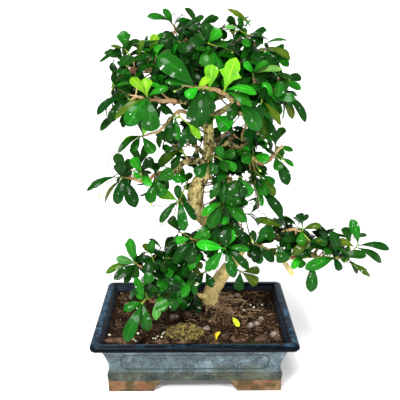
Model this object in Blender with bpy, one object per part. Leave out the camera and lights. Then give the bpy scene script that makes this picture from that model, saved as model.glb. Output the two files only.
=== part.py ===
"""Fukien tea bonsai, its trunk trained as an S, in a glazed rectangular pot on four clay feet.

The tree is drawn in millimetres from the middle of the pot, with +X to the right, -Y to the front and
+Z up from the surface that the feet stand on. A leaf's tip is given as it is seen from the front, where
the eye looks down by VIEW_TILT: so far right and so far up of the head that carries the leaf, with the
leaf's own length, which says how far it reaches towards the eye.
"""

import itertools
import math
import random
from collections import namedtuple

import bmesh
import bpy
from mathutils import Vector
from mathutils.bvhtree import BVHTree

MM = 0.001
ROUNDING = 1e-4

# Place of the pot's middle, so that the whole tree's box stands centred on the origin
POT_PLACE = (-0.05897, -0.00457, 0.0)

# Pot
POT_WIDTH = 0.250
POT_DEPTH = 0.184
POT_HEIGHT = 0.072
CORNER_RADIUS = 0.009
CORNER_STEPS = 3
FOOT_HEIGHT = 0.015
FLOOR_TOP = 0.022
# Outer wall and rim, as the distance in from the rim's edge and the height
POT_PROFILE = ((0.0200, 0.0150), (0.0175, 0.0170), (0.0175, 0.0240), (0.0194, 0.0260), (0.0190, 0.036),
               (0.0162, 0.047), (0.0125, 0.057), (0.0090, 0.0640), (0.0012, 0.0645), (0.0, 0.0660),
               (0.0, 0.0695), (0.0020, 0.0720), (0.0098, 0.0720), (0.0110, 0.0708))
INNER_WALL = ((0.0110, 0.0708), (0.0170, 0.060), (0.0270, FLOOR_TOP))
FOOT_RUN_FRONT = 0.064
FOOT_RUN_SIDE = 0.044
FOOT_THICK = 0.015
FOOT_SLANT = 0.009
FOOT_IN = 0.0185
FOOT_SUNK = 0.001
DRAIN_PLACES = (-0.055, 0.055)
DRAIN_RADIUS = 0.008

# Drain screens, laid over the holes
SCREEN_SIZE = 0.030
SCREEN_CELLS = 5
SCREEN_THICK = 0.0012

# Soil
GAP = 0.0003
SOIL_GAP = 0.0004
SOIL_BOTTOM = FLOOR_TOP + SCREEN_THICK + 2 * GAP
SOIL_EDGE = 0.0640
SOIL_RINGS = (1.0, 0.84, 0.64, 0.42, 0.20)
# Mounds on the soil: place, reach and height in mm
MOUNDS = ((20, 33, 42, 4.0), (-12, -50, 20, 8.0), (-40, -46, 30, 1.5), (62, -20, 34, 2.0))
TRUNK_HOLE_RADIUS = 0.0130
TRUNK_HOLE_BOTTOM = 0.037

# Leaves and shoots
VIEW_TILT = math.radians(17.5)
BLADE_KEEL = 0.0010
PETIOLE_HALF = 0.0004
TWIG_RADIUS = 0.0013
SHOOT_RADIUS = 0.0011
SHOOT_TIP = 0.0009
STEM_FOOT = 0.0024
CLEAR = 0.0009
SMALL_BLADE = 0.030
SMALL_WIDTH = 0.0135
ARCH = 0.16
SHOOT_SIDES = 3
STEM_TURN = 0.8
HEAD_RUN = 0.009
HEAD_OVER = 0.0015
ROOT_OUT = 0.0002
FREE_FROM = 0.12
ROOT_SLIPS = (0.0, 0.0001, -0.0001, 0.0002, -0.0002, 0.0003, -0.0003)
TRIES = 24

Leaf = namedtuple("Leaf", "right up length width face")
Head = namedtuple("Head", "place leaves more", defaults=(0,))

TRUNK_SIDES = 8
BOUGH_SIDES = 5
TWIG_SIDES = 4
FINE_TWIG_SIDES = 3
THICK_BOUGH = 3.5
TIP_ROOM = 10

# Trunk and boughs: (x, y, z, radius) in mm along each, from its root to its tip
TRUNK = ((19, 33, 38, 12), (19, 33, 60, 12), (20, 33, 69, 11), (24, 33, 86, 10), (34, 32, 103, 9.4),
         (45, 30, 120, 9), (55, 27, 137, 9), (58, 24, 154, 9), (48, 21, 169, 9), (31, 18, 180, 9),
         (14, 15, 193, 8.8), (2, 13, 208, 8.8), (-2, 11, 223, 8.8), (2, 10, 239, 8.6), (10, 9, 255, 8.2),
         (15, 8, 270, 7.5), (17, 6, 287, 7), (17, 4, 306, 6.2), (17, 2, 325, 5.6), (19, 0, 343, 5),
         (22, -2, 361, 4.4), (23, -2, 378, 3.6), (21, 0, 395, 2.8), (18, 2, 408, 2))
BOUGHS = {
    "low_left": ((22, 32, 76, 4), (-6, 15, 88, 3.6), (-26, -2, 99, 3.2), (-41, -15, 108, 3),
                 (-52, -24, 126, 2.4), (-60, -30, 144, 1.8), (-69, -34, 152, 1.3)),
    "low_left_front": ((-24, 0, 98, 2.2), (-39, -25, 105, 2), (-52, -45, 108, 1.5)),
    "low_left_rise": ((-5, 16, 88, 2.2), (-9, 0, 116, 2), (-10, -12, 144, 1.8), (-18, -20, 150, 1.4)),
    "mid_left": ((15, 8, 272, 4.5), (0, 2, 274, 3.8), (-14, -6, 274, 3.6), (-22, -12, 265, 4.2),
                 (-34, -18, 266, 2.6), (-46, -24, 265, 2.2), (-56, -28, 257, 1.8), (-69, -29, 259, 1.6),
                 (-82, -29, 263, 1.3)),
    "low_mid_left": ((0, 12, 217, 2.6), (-11, 2, 219, 2.2), (-19, -8, 224, 1.5)),
    "right_low": ((56, 26, 147, 5.5), (69, 16, 154, 4.6), (79, 8, 160, 4), (94, 3, 156, 3.2),
                  (118, -2, 148, 2.8), (147, -6, 151, 2.4), (176, -9, 150, 2), (194, -9, 156, 1.5)),
    "right_high": ((77, 9, 159, 3.2), (92, 5, 170, 3), (104, 2, 178, 2.6), (120, -3, 186, 2.2),
                   (137, -7, 189, 1.5)),
    "right_cut": ((108, -1, 152, 3.6), (119, -4, 136, 3.4), (126, -7, 125, 3)),
    "right_mid": ((17, 6, 285, 5), (28, 0, 293, 4.4), (40, -6, 298, 3.6), (56, -12, 292, 3.2),
                  (68, -15, 283, 2.8), (80, -16, 276, 2.6), (90, -15, 280, 2.4), (97, -14, 289, 2),
                  (105, -14, 297, 1.4)),
    "right_riser": ((57, -12, 290, 1.8), (56, -16, 309, 1.6), (61, -22, 327, 1.5), (52, -26, 339, 1.5)),
    "mid_front": ((11, 9, 253, 3.6), (24, -6, 254, 3), (39, -20, 254, 2.4), (51, -34, 263, 1.6)),
    "mid_low": ((23, -5, 254, 2.4), (34, -14, 242, 2), (39, -18, 223, 1.7), (40, -20, 203, 1.3)),
    "low_front": ((48, 21, 169, 3.2), (44, 2, 171, 2.6), (37, -18, 171, 2), (22, -26, 178, 1.6),
                  (5, -30, 183, 1.3)),
    "crown_front": ((18, 2, 327, 4.6), (32, -14, 338, 4), (43, -34, 350, 3), (34, -52, 363, 2.4),
                    (18, -64, 370, 2.2), (3, -70, 372, 1.8), (-13, -72, 376, 1.2)),
    "crown_left": ((19, 1, 337, 3.8), (2, -10, 346, 3.2), (-20, -24, 351, 2.6), (-38, -38, 354, 2.2),
                   (-52, -50, 357, 1.8), (-66, -50, 361, 1.3)),
    "crown_droop": ((17, 4, 312, 3.4), (2, -8, 326, 2.8), (-16, -24, 340, 2), (-31, -34, 327, 1.8),
                    (-41, -38, 319, 1.6), (-55, -41, 315, 1.3)),
    "crown_left_high": ((22, -2, 361, 3.2), (1, 0, 373, 2.8), (-26, -2, 379, 2.2), (-47, -8, 383, 1.9),
                        (-63, -14, 386, 1.6), (-76, -18, 389, 1.2)),
    "crown_left_rise": ((-46, -8, 383, 1.8), (-55, -8, 393, 1.6), (-64, -10, 399, 1.4), (-74, -9, 405, 1.2)),
    "crown_top_left": ((22, -2, 375, 2.8), (8, 6, 395, 2.4), (-4, 12, 410, 2), (-12, 14, 421, 1.7),
                       (-21, 13, 431, 1.2)),
    "crown_top_right": ((22, -2, 368, 3), (40, 4, 383, 2.4), (57, 9, 394, 2), (69, 10, 408, 1.7),
                        (69, 8, 422, 1.3)),
    "crown_right": ((20, 0, 349, 3.4), (40, 0, 355, 3), (57, -6, 359, 2.6), (70, -16, 365, 2),
                    (68, -24, 378, 1.4)),
    "crown_right_out": ((56, -5, 359, 2.4), (75, -4, 361, 2), (88, -6, 364, 1.7), (100, -8, 359, 1.3)),
    "crown_right_low": ((42, -33, 350, 2.4), (59, -36, 350, 2), (74, -36, 345, 1.4)),
    "crown_right_top": ((56, 9, 394, 1.8), (70, 6, 401, 1.5), (79, 4, 407, 1.2)),
    "back_left": ((19, 1, 345, 3.6), (4, 26, 356, 2.8), (-20, 46, 366, 2.2), (-34, 56, 371, 1.5)),
    "back_right": ((20, 0, 353, 3.4), (42, 26, 364, 2.8), (58, 40, 369, 2.2), (72, 50, 371, 1.5)),
    "back_top": ((22, -2, 370, 3), (22, 28, 388, 2.4), (20, 56, 398, 1.6)),
    "back_middle": ((16, 7, 278, 4), (2, 32, 286, 3), (-16, 54, 288, 2)),
    "back_middle_right": ((17, 6, 296, 3.6), (40, 32, 300, 2.8), (62, 54, 292, 1.8)),
    "back_low": ((58, 24, 158, 4), (64, 46, 171, 3), (59, 63, 177, 1.8)),
}

# Leafy shoots: each carries one head of leaves or more
SHOOTS = {
    "crown_left_tip": (
        Head((-78, -8, 407), (Leaf(-2, 21, 22, 15, .9), Leaf(-16, 2, 22, 8, .5), Leaf(13, 7, 22, 8, .2),
              Leaf(-33, -11, 37, 10, .25))),
        Head((-62, -14, 397), (Leaf(5, 20, 23, 8, .4), Leaf(-20, -8, 24, 10, .6),
              Leaf(-8, -11, 22, 13, .8), Leaf(11, -9, 22, 12, .8))),
        Head((-82, 16, 393), (), 4)),
    "crown_left_up": (
        Head((-51, -2, 405), (Leaf(9, 16, 22, 10, .8), Leaf(-8, 8, 22, 10, .5), Leaf(17, 5, 22, 11, .6))),
        Head((-52, 26, 400), (), 4)),
    "crown_left_edge": (
        Head((-76, -22, 387), (Leaf(-15, -11, 22, 9, .4), Leaf(2, -15, 22, 9, .6))),
        Head((-86, -32, 376), (Leaf(17, -9, 22, 14, .85), Leaf(10, 6, 22, 9, .5),
              Leaf(-8, -15, 22, 9, .5))),
        Head((-84, 6, 371), (), 4)),
    "crown_left_front": (
        Head((-51, -62, 362), (Leaf(-16, 18, 26, 11, .7), Leaf(-2, 20, 22, 13, .95),
              Leaf(23, 8, 26, 9, .6), Leaf(-22, -33, 41, 17, .85), Leaf(4, -38, 39, 19, .9),
              Leaf(-36, -24, 44, 10, .6))),),
    "crown_left_out": (
        Head((-74, -48, 361), (Leaf(-32, -22, 40, 10, .4), Leaf(-20, -28, 35, 11, .7),
              Leaf(-10, 8, 22, 9, .5))),
        Head((-77, -42, 342), (Leaf(-27, -22, 36, 10, .5), Leaf(-3, -22, 24, 9, .7))),
        Head((-72, -16, 352), (), 4)),
    "crown_droop_end": (
        Head((-62, -44, 314), (Leaf(-17, -8, 22, 8, .6), Leaf(-8, -18, 22, 9, .6),
              Leaf(14, -20, 26, 12, .85), Leaf(-2, 21, 23, 10, .7), Leaf(6, 16, 22, 8, .7),
              Leaf(-24, -20, 34, 8, .4))),),
    "crown_top_left_end": (
        Head((-26, 12, 436), (Leaf(-27, 3, 31, 11, .5), Leaf(-10, 12, 22, 9, .7), Leaf(14, 9, 22, 8, .2),
              Leaf(14, 3, 22, 9, .6))),
        Head((-22, 38, 424), (), 4)),
    "crown_top_middle": (
        Head((-5, 4, 431), (Leaf(16, 11, 22, 10, .6), Leaf(18, -15, 26, 9, .5), Leaf(8, -5, 22, 11, .8))),
        Head((4, 30, 430), (), 4)),
    "crown_top_front": (
        Head((16, -22, 415), (Leaf(13, 12, 22, 12, .85), Leaf(-3, 21, 23, 13, .8),
              Leaf(21, -4, 23, 10, .6), Leaf(-22, -1, 24, 12, .7), Leaf(-3, -29, 33, 16, .85),
              Leaf(16, -37, 41, 10, .6))),),
    "crown_upper_left": (
        Head((-16, -30, 417), (Leaf(8, -15, 22, 14, .85), Leaf(-19, 7, 22, 11, .6),
              Leaf(-11, -7, 22, 9, .7), Leaf(-4, 10, 22, 10, .4))),),
    "crown_front_tip": (
        Head((1, -75, 373), (Leaf(-39, 31, 51, 21, .85), Leaf(-32, 5, 33, 9, .5), Leaf(12, 5, 22, 9, .7),
              Leaf(-13, -12, 22, 11, .9), Leaf(-5, -44, 46, 23, .92))),
        Head((16, -72, 371), (Leaf(3, 23, 26, 14, .95), Leaf(4, -28, 29, 18, .92)))),
    "crown_front_right": (
        Head((32, -68, 368), (Leaf(12, 33, 38, 23, .95), Leaf(34, -5, 38, 10, .5),
              Leaf(30, -18, 38, 11, .6))),),
    "crown_front_low": (
        Head((48, -58, 357), (Leaf(22, -34, 41, 16, .85), Leaf(-8, -24, 27, 11, .7),
              Leaf(33, -17, 38, 11, .6))),),
    "crown_spire": (
        Head((69, 8, 425), (Leaf(-31, 24, 41, 9, .4), Leaf(15, 0, 22, 9, .5), Leaf(13, -13, 22, 9, .5))),
        Head((53, -4, 428), (Leaf(-18, 0, 22, 8, .4), Leaf(-6, 9, 22, 9, .7), Leaf(7, 9, 22, 9, .6)))),
    "crown_right_high": (
        Head((78, 2, 408), (Leaf(29, 8, 31, 9, .3), Leaf(32, -16, 41, 10, .5), Leaf(-7, -16, 22, 12, .6),
              Leaf(-18, 2, 22, 13, .7), Leaf(20, -24, 34, 9, .5))),
        Head((90, 26, 402), (), 4)),
    "crown_right_upright": (
        Head((66, -28, 382), (Leaf(16, 12, 22, 9, .6), Leaf(31, 4, 33, 9, .5), Leaf(-12, 10, 22, 10, .7),
              Leaf(19, -15, 26, 14, .85), Leaf(-15, -11, 22, 11, .5))),),
    "crown_right_edge": (
        Head((89, -12, 378), (Leaf(22, -5, 27, 9, .4), Leaf(15, -16, 24, 11, .7),
              Leaf(-9, -14, 22, 10, .6))),
        Head((101, -8, 358), (Leaf(17, -6, 22, 9, .4), Leaf(29, -36, 48, 10, .5),
              Leaf(14, -30, 34, 9, .6), Leaf(12, 12, 22, 10, .6))),
        Head((104, 18, 366), (), 4)),
    "crown_right_under": (
        Head((76, -36, 353), (Leaf(19, -29, 37, 10, .6), Leaf(17, -6, 22, 9, .5))),
        Head((79, -28, 332), (Leaf(8, -28, 31, 10, .7), Leaf(0, -29, 31, 11, .85),
              Leaf(15, -33, 38, 9, .4)))),
    "under_crown_front": (
        Head((23, -32, 335), (Leaf(17, -15, 26, 19, .95), Leaf(-11, -11, 22, 10, .5))),),
    "under_crown_left": (
        Head((-6, -38, 327), (Leaf(-6, -23, 25, 10, .7), Leaf(6, -24, 26, 11, .8),
              Leaf(14, -18, 24, 9, .7))),
        Head((-24, -38, 336), (Leaf(-5, -29, 30, 9, .6), Leaf(3, -27, 28, 9, .7),
              Leaf(-15, 9, 22, 11, .6))),
        Head((-36, -18, 322), (), 3)),
    "mid_left_high": (
        Head((-16, -16, 293), (Leaf(-25, -19, 33, 12, .7), Leaf(4, 11, 22, 9, .7),
              Leaf(-13, -21, 27, 10, .6))),
        Head((-26, 10, 290), (), 4)),
    "mid_left_inner": (
        Head((-45, -34, 260), (Leaf(21, 9, 25, 15, .9), Leaf(-8, -27, 29, 13, .85),
              Leaf(8, -22, 25, 13, .85), Leaf(-1, 18, 22, 9, .7))),),
    "mid_left_middle": (
        Head((-63, -28, 268), (Leaf(15, 16, 24, 11, .75), Leaf(-9, 18, 22, 11, .75),
              Leaf(-12, -7, 22, 11, .7), Leaf(13, -11, 22, 9, .8))),
        Head((-66, 2, 268), (), 4)),
    "mid_left_end": (
        Head((-88, -30, 263), (Leaf(-36, -16, 44, 11, .5), Leaf(0, 18, 22, 14, .7),
              Leaf(-6, -32, 33, 12, .88), Leaf(15, -35, 40, 15, .85), Leaf(-21, -36, 43, 8, .5))),
        Head((-86, -4, 256), (), 3)),
    "mid_low_left": (
        Head((-20, -20, 230), (Leaf(-23, 11, 26, 13, .75), Leaf(-1, 18, 22, 9, .6),
              Leaf(-22, -27, 36, 9, .6), Leaf(6, -39, 41, 12, .8), Leaf(19, -27, 36, 9, .5))),
        Head((-8, -10, 252), (Leaf(-19, 4, 22, 11, .88), Leaf(-10, 17, 22, 10, .8))),
        Head((-18, 22, 234), (), 4)),
    "mid_right_low": (
        Head((34, -28, 233), (Leaf(-26, -17, 32, 10, .65), Leaf(-18, -31, 37, 14, .85),
              Leaf(27, -22, 36, 13, .85), Leaf(5, -16, 22, 10, .8))),
        Head((41, -20, 203), (Leaf(-20, -27, 34, 14, .7), Leaf(15, -17, 24, 12, .7),
              Leaf(-2, -31, 32, 13, .7)))),
    "low_front_left": (
        Head((-5, -32, 186), (Leaf(-18, -2, 19, 10, .85), Leaf(22, 10, 25, 15, .92),
              Leaf(-24, -28, 38, 12, .7), Leaf(-6, -28, 29, 13, .8))),
        Head((-20, -4, 184), (), 4)),
    "low_front": (
        Head((37, -38, 175), (Leaf(-35, 7, 37, 12, .85), Leaf(10, 23, 26, 12, .9),
              Leaf(-24, -27, 37, 14, .85), Leaf(11, -35, 38, 13, .88), Leaf(28, -25, 39, 10, .65),
              Leaf(29, -2, 30, 9, .6))),),
    "low_right_front": (
        Head((75, -10, 170), (Leaf(-4, 18, 22, 9, .7), Leaf(8, -24, 26, 11, .85),
              Leaf(23, 23, 33, 16, .92), Leaf(26, -21, 35, 11, .7), Leaf(-20, 13, 26, 14, .7))),
        Head((62, 42, 204), (), 5)),
    "low_right_hang": (
        Head((61, -4, 129), (Leaf(22, 3, 23, 10, .7), Leaf(21, -15, 26, 13, .85),
              Leaf(-3, -24, 25, 13, .88))),),
    "right_round": (
        Head((104, -8, 167), (Leaf(8, -21, 23, 16, .88), Leaf(-10, -10, 22, 10, .7),
              Leaf(6, 13, 22, 9, .6))),
        Head((132, -10, 153), (Leaf(-11, -14, 22, 9, .8), Leaf(9, -14, 22, 11, .8))),
        Head((108, 16, 173), (), 4)),
    "right_rise": (
        Head((113, -4, 189), (Leaf(-23, 39, 46, 10, .5), Leaf(-38, 13, 41, 9, .6),
              Leaf(1, -18, 20, 12, .85), Leaf(-16, 9, 22, 9, .6))),),
    "right_top": (
        Head((135, -8, 192), (Leaf(-14, 12, 22, 10, .4), Leaf(-1, 17, 22, 10, .5),
              Leaf(22, 6, 25, 9, .5), Leaf(-5, -17, 22, 11, .8))),
        Head((143, -18, 177), (Leaf(20, 0, 22, 12, .8), Leaf(-19, -19, 27, 11, .8),
              Leaf(-2, -21, 23, 13, .8))),
        Head((132, 14, 184), (), 4)),
    "right_big": (
        Head((180, -14, 154), (Leaf(-13, 33, 40, 14, .65), Leaf(35, 3, 36, 12, .6),
              Leaf(-34, 20, 41, 12, .6), Leaf(4, -15, 22, 10, .7), Leaf(-41, -13, 45, 14, .8))),
        Head((147, -18, 148), (Leaf(-3, -36, 37, 14, .9),)),
        Head((164, 6, 174), (), 4)),
    "right_end": (
        Head((206, -8, 168), (Leaf(-10, 33, 35, 12, .75), Leaf(38, -4, 39, 10, .5),
              Leaf(33, -18, 38, 12, .6), Leaf(-26, 10, 31, 11, .5))),
        Head((190, -15, 148), (Leaf(29, -18, 35, 9, .6), Leaf(15, -19, 26, 9, .6))),
        Head((200, 12, 162), (), 3)),
    "low_left_end": (
        Head((-73, -38, 158), (Leaf(-5, 30, 32, 12, .85), Leaf(-22, 6, 24, 10, .85),
              Leaf(-36, -11, 39, 9, .4), Leaf(-26, -18, 33, 11, .75), Leaf(-15, -23, 28, 9, .75))),
        Head((-72, -12, 146), (), 4)),
    "low_left_high": (
        Head((-53, -30, 165), (Leaf(2, 18, 22, 9, .6), Leaf(-11, 13, 22, 8, .5),
              Leaf(-7, -20, 24, 14, .85), Leaf(-18, -1, 22, 10, .6))),
        Head((-35, -22, 158), (Leaf(-12, 9, 22, 8, .3), Leaf(-14, -14, 22, 12, .8))),
        Head((-40, 6, 154), (), 4)),
    "low_left_bright": (
        Head((-18, -26, 153), (Leaf(-27, -26, 39, 12, .8), Leaf(-11, -36, 39, 14, .8),
              Leaf(11, 9, 22, 9, .85))),
        Head((-5, -16, 147), (Leaf(10, 8, 22, 9, .85), Leaf(-8, -15, 22, 9, .85),
              Leaf(16, -6, 22, 9, .6), Leaf(5, -33, 34, 13, .8)))),
    "low_left_front_end": (
        Head((-63, -62, 115), (Leaf(-19, -43, 49, 14, .88), Leaf(6, -34, 35, 13, .88),
              Leaf(-23, -8, 26, 10, .7), Leaf(-11, 29, 32, 9, .7))),
        Head((-62, -50, 132), (Leaf(10, 16, 20, 13, .88), Leaf(6, -16, 22, 12, .85)))),
    "low_left_middle": (
        Head((-44, -46, 118), (Leaf(7, -18, 22, 17, .9), Leaf(-5, -29, 31, 10, .85),
              Leaf(20, -16, 26, 12, .9))),
        Head((-16, -30, 119), (Leaf(-9, -19, 22, 13, .88), Leaf(4, -27, 29, 12, .88),
              Leaf(16, -16, 25, 10, .75)))),
    "low_centre": (
        Head((14, -2, 129), (Leaf(9, -19, 23, 12, .88), Leaf(-13, -17, 23, 12, .8),
              Leaf(-14, 5, 22, 9, .6))),),
    "mid_front_top": (
        Head((32, -38, 285), (Leaf(-6, 14, 22, 10, .7), Leaf(5, -14, 22, 11, .85),
              Leaf(17, -12, 22, 10, .85), Leaf(17, 6, 22, 10, .7))),
        Head((16, -22, 279), (Leaf(-14, -17, 24, 15, .9), Leaf(7, -17, 22, 11, .85)))),
    "mid_front_low": (
        Head((51, -44, 267), (Leaf(-10, -27, 30, 13, .8), Leaf(6, -25, 30, 15, .8),
              Leaf(18, -22, 30, 12, .8), Leaf(20, -3, 22, 11, .6))),
        Head((33, -34, 264), (Leaf(-15, -26, 31, 10, .8), Leaf(-5, -29, 31, 10, .8)))),
    "mid_right_outer": (
        Head((70, -22, 286), (Leaf(16, -5, 22, 13, .85), Leaf(-14, -8, 22, 14, .85),
              Leaf(-4, 32, 34, 15, .6), Leaf(9, 12, 22, 10, .5))),
        Head((72, 4, 308), (), 4)),
    "mid_right_hang": (
        Head((80, -14, 258), (Leaf(17, -23, 29, 10, .7), Leaf(6, -24, 28, 13, .8),
              Leaf(18, -11, 23, 10, .6))),
        Head((74, -8, 244), (Leaf(33, -33, 48, 11, .6), Leaf(7, -27, 32, 8, .4))),
        Head((60, 14, 262), (), 4),
        Head((52, 8, 236), (), 5)),
    "mid_right_end": (
        Head((100, -12, 281), (Leaf(18, -10, 22, 8, .3), Leaf(12, -33, 37, 13, .7),
              Leaf(2, -16, 22, 11, .8), Leaf(-14, 8, 22, 9, .5))),
        Head((100, 12, 292), (), 4)),
    "back_crown_left": (
        Head((-56, 66, 392), (), 4),
        Head((-36, 82, 384), (), 4),
        Head((-62, 44, 370), (), 3)),
    "back_crown_right": (
        Head((96, 62, 380), (), 4),
        Head((66, 78, 384), (), 4),
        Head((96, 36, 362), (), 3)),
    "back_crown_top": (
        Head((6, 62, 412), (), 4),
        Head((36, 66, 400), (), 4),
        Head((22, 88, 388), (), 3)),
    "back_middle_left": (
        Head((-26, 66, 296), (), 5),
        Head((0, 68, 300), (), 3)),
    "back_middle_right": (
        Head((70, 64, 298), (), 5),
        Head((48, 72, 284), (), 3)),
    "back_low_right": (
        Head((48, 84, 190), (), 5),
        Head((76, 66, 184), (), 3),
        Head((46, 44, 210), (), 5)),
}

FLOWER_SHOOT = "mid_front_low"
PETALS = 5
# Height above the stem's end, reach of a petal and of the notch between two petals
FLOWER_PROFILE = ((0.0, 0.0006, 0.0006), (0.0062, 0.0006, 0.0006), (0.0080, 0.0014, 0.0014),
                  (0.0090, 0.0055, 0.0022), (0.0097, 0.0053, 0.0020))

FALLEN_WIDTH = 0.009
FALLEN_ARCH = 0.12
# Fallen leaves: place of the stalk end and of the tip on the soil, in mm
FALLEN_LEAVES = {"fallen_leaf_front": ((26, -64), (30, -44)), "fallen_leaf_middle": ((49, -10), (56, -34))}

TOWARDS_EYE = Vector((0, -math.cos(VIEW_TILT), math.sin(VIEW_TILT)))
UP_IN_VIEW = Vector((0, math.sin(VIEW_TILT), math.cos(VIEW_TILT)))
UP = Vector((0, 0, 1))


def clear_scene():
    """Remove whatever the opened file holds."""
    for item in list(bpy.data.objects):
        bpy.data.objects.remove(item, do_unlink=True)


def finish_material(name, colour, roughness, metallic=0.0):
    """A plain material of one colour."""
    material = bpy.data.materials.new(name)
    material.use_nodes = True
    shader = material.node_tree.nodes["Principled BSDF"]
    shader.inputs["Base Color"].default_value = (*colour, 1.0)
    shader.inputs["Roughness"].default_value = roughness
    shader.inputs["Metallic"].default_value = metallic
    return material


def add_object(name, mesh, material, parent):
    """Put a mesh into the scene as a named object with its material."""
    item = bpy.data.objects.new(name, mesh)
    bpy.context.scene.collection.objects.link(item)
    mesh.materials.clear()
    mesh.materials.append(material)
    item.parent = parent
    return item


def mesh_from(bm, name):
    """Turn a bmesh into a mesh with outward faces."""
    bmesh.ops.recalc_face_normals(bm, faces=bm.faces)
    mesh = bpy.data.meshes.new(name)
    bm.to_mesh(mesh)
    bm.free()
    return mesh


def keep_largest_body(mesh, merge, cut):
    """Merge slivers, drop scraps and sealed hollows so that one body is left, and cut it in triangles."""
    bm = bmesh.new()
    bm.from_mesh(mesh)
    bmesh.ops.remove_doubles(bm, verts=bm.verts, dist=merge)
    bmesh.ops.dissolve_degenerate(bm, edges=bm.edges, dist=merge / 2)
    bmesh.ops.triangulate(bm, faces=bm.faces, ngon_method=cut)
    bmesh.ops.delete(bm, geom=[edge for edge in bm.edges if edge.is_wire], context="EDGES")
    unseen = set(bm.faces)
    bodies = []
    while unseen:
        start = unseen.pop()
        body = {start}
        front = [start]
        while front:
            for edge in front.pop().edges:
                for face in edge.link_faces:
                    if face in unseen:
                        unseen.discard(face)
                        body.add(face)
                        front.append(face)
        bodies.append(body)
    bodies.sort(key=len)
    for body in bodies[:-1]:
        bmesh.ops.delete(bm, geom=list(body), context="FACES")
    closed = all(edge.is_manifold for edge in bm.edges) and all(vert.is_manifold for vert in bm.verts)
    volume = bm.calc_volume(signed=True)
    bm.to_mesh(mesh)
    bm.free()
    return closed, volume


def volume_of(mesh):
    """Volume that a closed mesh encloses."""
    bm = bmesh.new()
    bm.from_mesh(mesh)
    volume = bm.calc_volume(signed=True)
    bm.free()
    return volume


def combine(base, parts, operation="UNION"):
    """One Boolean on a collection joins the parts to the base or cuts them out: tells if it is closed."""
    group = bpy.data.collections.new(base.name + "_parts")
    bpy.context.scene.collection.children.link(group)
    for part in parts:
        bpy.context.scene.collection.objects.unlink(part)
        group.objects.link(part)
    material = base.data.materials[0]
    most = volume_of(base.data) * (1 + ROUNDING)
    least = max(0.5 * most, *(0.9 * volume_of(part.data) for part in parts))
    if operation == "UNION":
        most += sum(volume_of(part.data) for part in parts)
    ways = itertools.product((2e-6, 0.0), ("EXACT", "MANIFOLD"), ("BEAUTY", "EAR_CLIP"))
    for merge, solver, cut in ways:
        boolean = base.modifiers.new("combine", "BOOLEAN")
        boolean.operation = operation
        boolean.operand_type = "COLLECTION"
        boolean.collection = group
        boolean.solver = solver
        graph = bpy.context.evaluated_depsgraph_get()
        mesh = bpy.data.meshes.new_from_object(base.evaluated_get(graph))
        base.modifiers.remove(boolean)
        closed, volume = keep_largest_body(mesh, merge, cut)
        whole = closed and least < volume < most
        if whole:
            break
    mesh.materials.clear()
    mesh.materials.append(material)
    base.data = mesh
    for part in list(group.objects):
        bpy.data.objects.remove(part, do_unlink=True)
    bpy.data.collections.remove(group)
    return whole


def rounded_outline(half_x, half_y, radius):
    """Points round a rectangle with rounded corners, anticlockwise from the right front."""
    points = []
    for corner in range(4):
        sign_x = 1 if corner in (0, 1) else -1
        sign_y = -1 if corner in (0, 3) else 1
        for step in range(CORNER_STEPS + 1):
            angle = math.radians(-90 + 90 * corner + 90 * step / CORNER_STEPS)
            points.append((sign_x * (half_x - radius) + radius * math.cos(angle),
                           sign_y * (half_y - radius) + radius * math.sin(angle)))
    return points


def pot_outline(inset):
    """The pot's outline, so far in from the rim's outer edge."""
    radius = max(CORNER_RADIUS - 0.6 * inset, 0.004)
    return rounded_outline(POT_WIDTH / 2 - inset, POT_DEPTH / 2 - inset, radius)


def stack_rings(bm, rings):
    """Join rings of points by faces, one to the next, and close the first and the last."""
    loops = [[bm.verts.new(point) for point in ring] for ring in rings]
    for lower, upper in zip(loops, loops[1:]):
        count = len(lower)
        for index in range(count):
            following = (index + 1) % count
            bm.faces.new((lower[index], lower[following], upper[following], upper[index]))
    bm.faces.new(list(reversed(loops[0])))
    bm.faces.new(loops[-1])


def make_foot(side_x, side_y, material, parent):
    """One foot of the pot: an L of two bars that narrow towards the ground."""
    corner_x = POT_WIDTH / 2 - FOOT_IN
    corner_y = POT_DEPTH / 2 - FOOT_IN
    top = FOOT_HEIGHT + FOOT_SUNK
    bm = bmesh.new()
    rings = []
    for height, slant in ((0.0, FOOT_SLANT), (top, 0.0)):
        outline = ((0, 0), (FOOT_RUN_FRONT - slant, 0), (FOOT_RUN_FRONT - slant, FOOT_THICK),
                   (FOOT_THICK, FOOT_THICK), (FOOT_THICK, FOOT_RUN_SIDE - slant), (0, FOOT_RUN_SIDE - slant))
        rings.append([(side_x * (corner_x - x), side_y * (corner_y - y), height) for x, y in outline])
    stack_rings(bm, rings)
    return add_object("foot", mesh_from(bm, "foot"), material, parent)


def make_cylinder(name, place, radius, bottom, top, sides, material, parent):
    """An upright closed cylinder."""
    bm = bmesh.new()
    bmesh.ops.create_cone(bm, cap_ends=True, segments=sides, radius1=radius, radius2=radius,
                          depth=top - bottom)
    bmesh.ops.translate(bm, verts=bm.verts, vec=(place[0], place[1], (bottom + top) / 2))
    return add_object(name, mesh_from(bm, name), material, parent)


def make_pot(parent):
    """The glazed pot with its bead, hollow-curved wall, rim, four feet and two drain holes."""
    material = finish_material("glaze", (0.045, 0.075, 0.11), 0.22)
    bm = bmesh.new()
    profile = POT_PROFILE + INNER_WALL[1:]
    stack_rings(bm, [[(x, y, z) for x, y in pot_outline(inset)] for inset, z in profile])
    pot = add_object("pot", mesh_from(bm, "pot"), material, parent)
    feet = [make_foot(side_x, side_y, material, parent) for side_x in (-1, 1) for side_y in (-1, 1)]
    combine(pot, feet)
    drills = [make_cylinder("drill", (x, 0), DRAIN_RADIUS, FOOT_HEIGHT - 0.004, FLOOR_TOP + 0.004, 12,
                            material, parent) for x in DRAIN_PLACES]
    combine(pot, drills, "DIFFERENCE")
    return pot


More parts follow.
